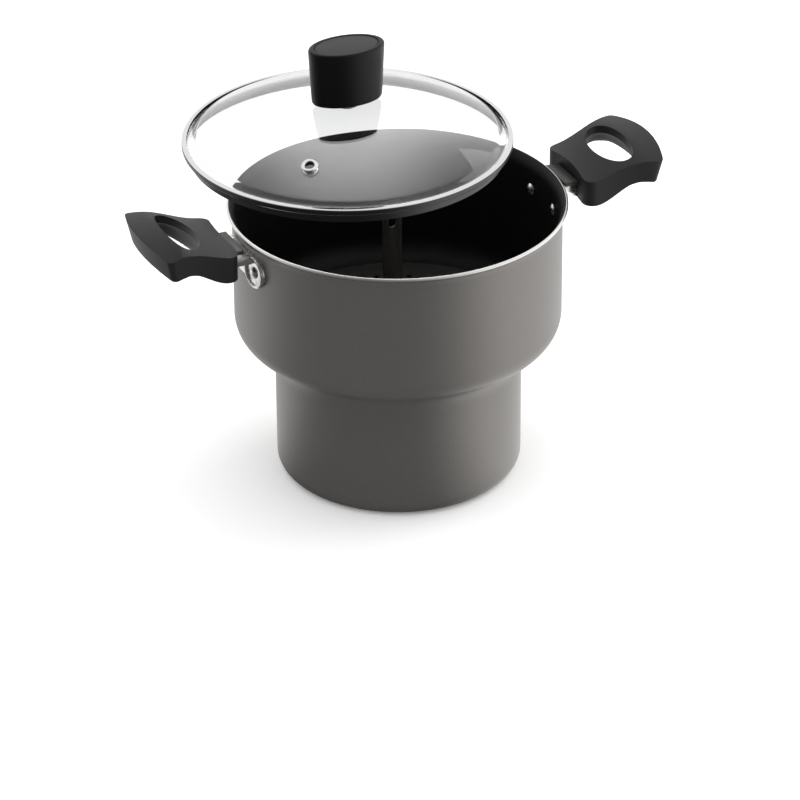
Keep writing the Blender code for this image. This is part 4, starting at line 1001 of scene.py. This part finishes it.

# Lid ring: stainless steel rolled round the glass's edge, with a lip above, a shelf below and a skirt
# that stands in the rim. Its lip and folds are polished. Its side and skirt are rougher and painted dark, a
# painted shade for the dark pot they mirror. All show the rings of rolling.

LIP_WIDTH = 0.0030
RING_HEIGHT = GLASS_TOP + FIT_GAP + RING_SHEET
RING_ROUND = 0.0012
RING_FOLD_GAP = 0.0001
SKIRT_RADIUS = 0.0943
SKIRT_ROUND = 0.0008
STEEL = (0.82, 0.82, 0.82)
# painted shade: steel darkened to stand for the dark pot mirrored in the ring's side and for the shade in
# the eyelet's bore
PAINTED_SHADE_STEEL = (0.085, 0.085, 0.085)


def polished_steel(name, centre, colour, roughness):
    """Stainless steel, polished or dull by its roughness, with rings left by rolling and turning; a dark
    colour given to it paints shade.
    """
    material, nodes, links, shader = principled(name, colour, roughness, 1.0)
    marks = add_turning(nodes, centre, 1500.0)
    streak = tuple(0.85 * value for value in colour)
    tone = add_colour_mix(nodes, links, marks.outputs["Mask"], streak, colour)
    links.new(tone, shader.inputs["Base Color"])
    rough = add_range(nodes, links, marks.outputs["Mask"], roughness * 0.7, roughness * 1.5)
    links.new(rough, shader.inputs["Roughness"])
    return material


def ring_profile():
    """The rolled section: over the glass, round its edge, under it, and down the skirt."""
    outer = LID_RADIUS - RING_ROUND
    top = arc_points((outer, RING_HEIGHT - RING_ROUND), RING_ROUND, 90.0, 0.0, 6)
    hem = arc_points((outer, RING_ROUND), RING_ROUND, 0.0, -90.0, 6)
    skirt = arc_points((SKIRT_RADIUS + SKIRT_ROUND, -SKIRT_ROUND), SKIRT_ROUND, 90.0, 180.0, 4)
    lip = LID_RADIUS - LIP_WIDTH
    outside = [(lip, RING_HEIGHT)] + top + hem + skirt + [(SKIRT_RADIUS, -SKIRT_DEPTH)]
    inner_edge = LID_RADIUS - RING_SHEET
    inside = [
        (SKIRT_RADIUS - RING_SHEET, -SKIRT_DEPTH),
        (SKIRT_RADIUS - RING_SHEET, RING_SHEET),
        (inner_edge - RING_ROUND, RING_SHEET),
        (inner_edge - RING_FOLD_GAP, RING_ROUND),
        (inner_edge - RING_FOLD_GAP, RING_HEIGHT - RING_ROUND),
        (inner_edge - RING_ROUND, RING_HEIGHT - RING_SHEET),
        (lip, RING_HEIGHT - RING_SHEET),
    ]
    return outside + inside


def ring_side(face):
    """0 for the polished lip and folds, 1 for the outer side, shelf and skirt, darkened as painted shade."""
    middle = face.calc_center_median()
    radius = math.hypot(middle.x, middle.y)
    if middle.z > RING_HEIGHT - 0.6 * RING_ROUND and radius > LID_RADIUS - LIP_WIDTH:
        return 0
    fold = radius > LID_RADIUS - 0.7 * RING_ROUND and middle.z < 0.5 * RING_ROUND
    return 0 if fold or middle.z < RING_SHEET - SKIRT_DEPTH else 1


lid_steel = polished_steel("lid_steel", LID_CENTRE, STEEL, 0.10)
# painted shade: the darkened steel of the ring's side, shelf and skirt and of the eyelet's bore
painted_shade_steel = polished_steel("painted_shade_steel", LID_CENTRE, PAINTED_SHADE_STEEL, 0.30)
ring = turned(ring_profile(), ROUND_STEPS, closed=True)
for face in ring.faces:
    face.material_index = ring_side(face)
finished(
    "rolled_ring", on_the_lid(ring), [lid_steel, painted_shade_steel], "lid", ["lid_rim"]
)

# Vent eyelet: a small polished steel tube, flanged on both sides of the glass and set square to the dome.
# The wall of its bore is painted dark steel, a painted shade inside the bore.

VENT_LOW, VENT_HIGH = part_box("vent_eyelet")
VENT_FROM_EDGE = 0.0287
VENT_BORE = 0.0025
VENT_TUBE = 0.0034
VENT_FLANGE = 0.0050
VENT_SEAT_GAP = 0.00045
VENT_UPPER_ROUND = 0.0006
VENT_MOUTH_ROUND = 0.0011
VENT_LOWER_ROUND = 0.0005
# how far out from the bore the painted shade reaches
VENT_PAINTED_SHADE_DEPTH = 0.0004


def eyelet():
    """The eyelet's rolled section: two rounded flanges joined by the tube."""
    top = VENT_SEAT_GAP
    bottom = -GLASS - VENT_SEAT_GAP
    upper_centre = (VENT_FLANGE - VENT_UPPER_ROUND, top + VENT_UPPER_ROUND)
    mouth_centre = (VENT_BORE + VENT_MOUTH_ROUND, top + 2.0 * VENT_UPPER_ROUND - VENT_MOUTH_ROUND)
    lower_centre = (VENT_FLANGE - 2.0 * VENT_LOWER_ROUND, bottom - VENT_LOWER_ROUND)
    upper = arc_points(upper_centre, VENT_UPPER_ROUND, -90.0, 90.0, 6)
    mouth = arc_points(mouth_centre, VENT_MOUTH_ROUND, 90.0, 180.0, 6)
    foot = (VENT_BORE, bottom - 2.0 * VENT_LOWER_ROUND)
    lower = arc_points(lower_centre, VENT_LOWER_ROUND, -90.0, 90.0, 4)
    return [(VENT_TUBE, top)] + upper + mouth + [foot] + lower + [(VENT_TUBE, bottom)]


vent_out = (VENT_LOW + VENT_HIGH) / 2.0 - LID_CENTRE
vent_distance = LID_RADIUS - VENT_FROM_EDGE
vent_along = vent_distance - KNOB_SEAT
vent = turned(list(reversed(eyelet())), 48, closed=True)
# painted shade: faces on the bore's wall take the darkened steel
for face in vent.faces:
    middle = face.calc_center_median()
    face.material_index = 1 if math.hypot(middle.x, middle.y) < VENT_BORE + VENT_PAINTED_SHADE_DEPTH else 0
vent_place = (
    Matrix.Translation(LID_CENTRE + Vector((0.0, 0.0, HEM_Z)))
    @ Matrix.Rotation(math.atan2(vent_out.y, vent_out.x), 4, "Z")
    @ Matrix.Translation((vent_distance, 0.0, dome_height(vent_along)))
    @ Matrix.Rotation(math.asin(vent_along / DOME_RADIUS), 4, "Y")
)
bmesh.ops.transform(vent, matrix=vent_place, verts=vent.verts)
finished("vent", vent, [lid_steel, painted_shade_steel], "lid", ["vent_eyelet"], 50.0)

# Knob: an oval phenolic moulding, a little wider at its top, with a matte disc set into a shallow recess.
# A screw from under the glass holds it, with a gasket on each side of the glass and a steel washer.

KNOB_LOW, KNOB_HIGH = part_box("lid_knob")
KNOB_HALF_LENGTH = (KNOB_HIGH.x - KNOB_LOW.x) / 2.0
KNOB_HALF_WIDTH = (KNOB_HIGH.y - KNOB_LOW.y) / 2.0
KNOB_HEIGHT = KNOB_HIGH.z - KNOB_LOW.z
KNOB_TAPER = 0.93
KNOB_EDGE = 0.0016
KNOB_FOOT_ROUND = 0.0006
KNOB_STEPS = 128
RECESS_DEPTH = 0.0011
RECESS_LIP = 0.0004
DISC_HALF_LENGTH = 0.02005
DISC_HALF_WIDTH = 0.0128
DISC_GAP = 0.0005
DISC_ROUND = 0.0003
DISC_SUNK = 0.0003
DISC_SEAT_GAP = 0.0001
FIXING_WIDTH = 0.72
FIXING_HEIGHT = 0.55
KNOB_BLACK = (0.004, 0.004, 0.004)
INLAY = (0.050, 0.050, 0.050)
SILICONE = (0.72, 0.73, 0.72)


def oval(bm, half_length, half_width):
    """Narrows a turned shape across the knob, and puts it on the knob's foot."""
    bmesh.ops.scale(bm, vec=(1.0, half_width / half_length, 1.0), verts=bm.verts)
    bmesh.ops.translate(bm, verts=bm.verts, vec=(LID_CENTRE.x, 0.0, KNOB_LOW.z))
    return bm


def knob_profile():
    """From the recess's middle, over the rounded top edge and down to the foot."""
    foot = KNOB_HALF_LENGTH * KNOB_TAPER
    floor = KNOB_HEIGHT - RECESS_DEPTH
    profile = [(0.0, floor), (DISC_HALF_LENGTH, floor), (DISC_HALF_LENGTH, KNOB_HEIGHT - RECESS_LIP)]
    profile.append((DISC_HALF_LENGTH + RECESS_LIP, KNOB_HEIGHT))
    top = KNOB_HEIGHT - KNOB_EDGE
    profile += arc_points((KNOB_HALF_LENGTH - KNOB_EDGE, top), KNOB_EDGE, 90.0, 0.0, 8)
    for i in range(1, 9):
        share = i / 9.0
        profile.append((KNOB_HALF_LENGTH + (foot - KNOB_HALF_LENGTH) * share, top * (1.0 - share)))
    profile += arc_points((foot - KNOB_FOOT_ROUND, KNOB_FOOT_ROUND), KNOB_FOOT_ROUND, 0.0, -90.0, 4)
    return profile + [(0.0, 0.0)]


def disc_profile():
    """The inset disc, a little below the knob's top and just off the recess's floor."""
    edge = DISC_HALF_LENGTH - DISC_GAP
    top = KNOB_HEIGHT - DISC_SUNK
    seat = KNOB_HEIGHT - RECESS_DEPTH + DISC_SEAT_GAP
    rounding = arc_points((edge - DISC_ROUND, top - DISC_ROUND), DISC_ROUND, 90.0, 0.0, 3)
    return [(0.0, top)] + rounding + [(edge, seat), (0.0, seat)]


knob_moulding = moulded_black("knob_moulding", KNOB_BLACK, 0.36)
inlay = moulded_black("knob_inlay", INLAY, 0.62)
knob = oval(turned(knob_profile(), KNOB_STEPS), KNOB_HALF_LENGTH, KNOB_HALF_WIDTH)
finished("oval_knob", knob, [knob_moulding], "lid", ["lid_knob", "knob_insert"], 40.0)
disc = oval(turned(disc_profile(), KNOB_STEPS), DISC_HALF_LENGTH, DISC_HALF_WIDTH)
finished("inset_disc", disc, [inlay], "lid", ["knob_disc"], 40.0)


def clear_silicone():
    """Milky silicone, slightly see-through."""
    material, nodes, links, shader = principled("clear_silicone", SILICONE, 0.45, 0.0)
    shader.inputs["Transmission Weight"].default_value = 0.35
    bloom = add_grain(nodes, 900.0, 0.5)
    links.new(add_range(nodes, links, bloom.outputs["Mask"], 0.40, 0.55), shader.inputs["Roughness"])
    return material


def knob_fixing(node):
    """A softened fixing, narrowed, and shortened below the glass, so that the knob's foot hides it."""
    bm = softened(node, FIXING_EDGE)
    seat = LID_CENTRE + Vector((0.0, 0.0, HEM_Z + DOME_HEIGHT - GLASS))
    for vert in bm.verts:
        offset = vert.co - seat
        offset.x *= FIXING_WIDTH
        offset.y *= FIXING_WIDTH
        if offset.z < 0.0:
            offset.z *= FIXING_HEIGHT
        vert.co = seat + offset
    return bm


silicone = clear_silicone()
for place in ("upper", "lower"):
    node = f"knob_gasket_{place}"
    finished(f"gasket_{place}", knob_fixing(node), [silicone], "lid", [node])
for node in ("knob_washer", "knob_screw"):
    finished(f"fixing_{node}", knob_fixing(node), [lid_steel], "lid", [node])
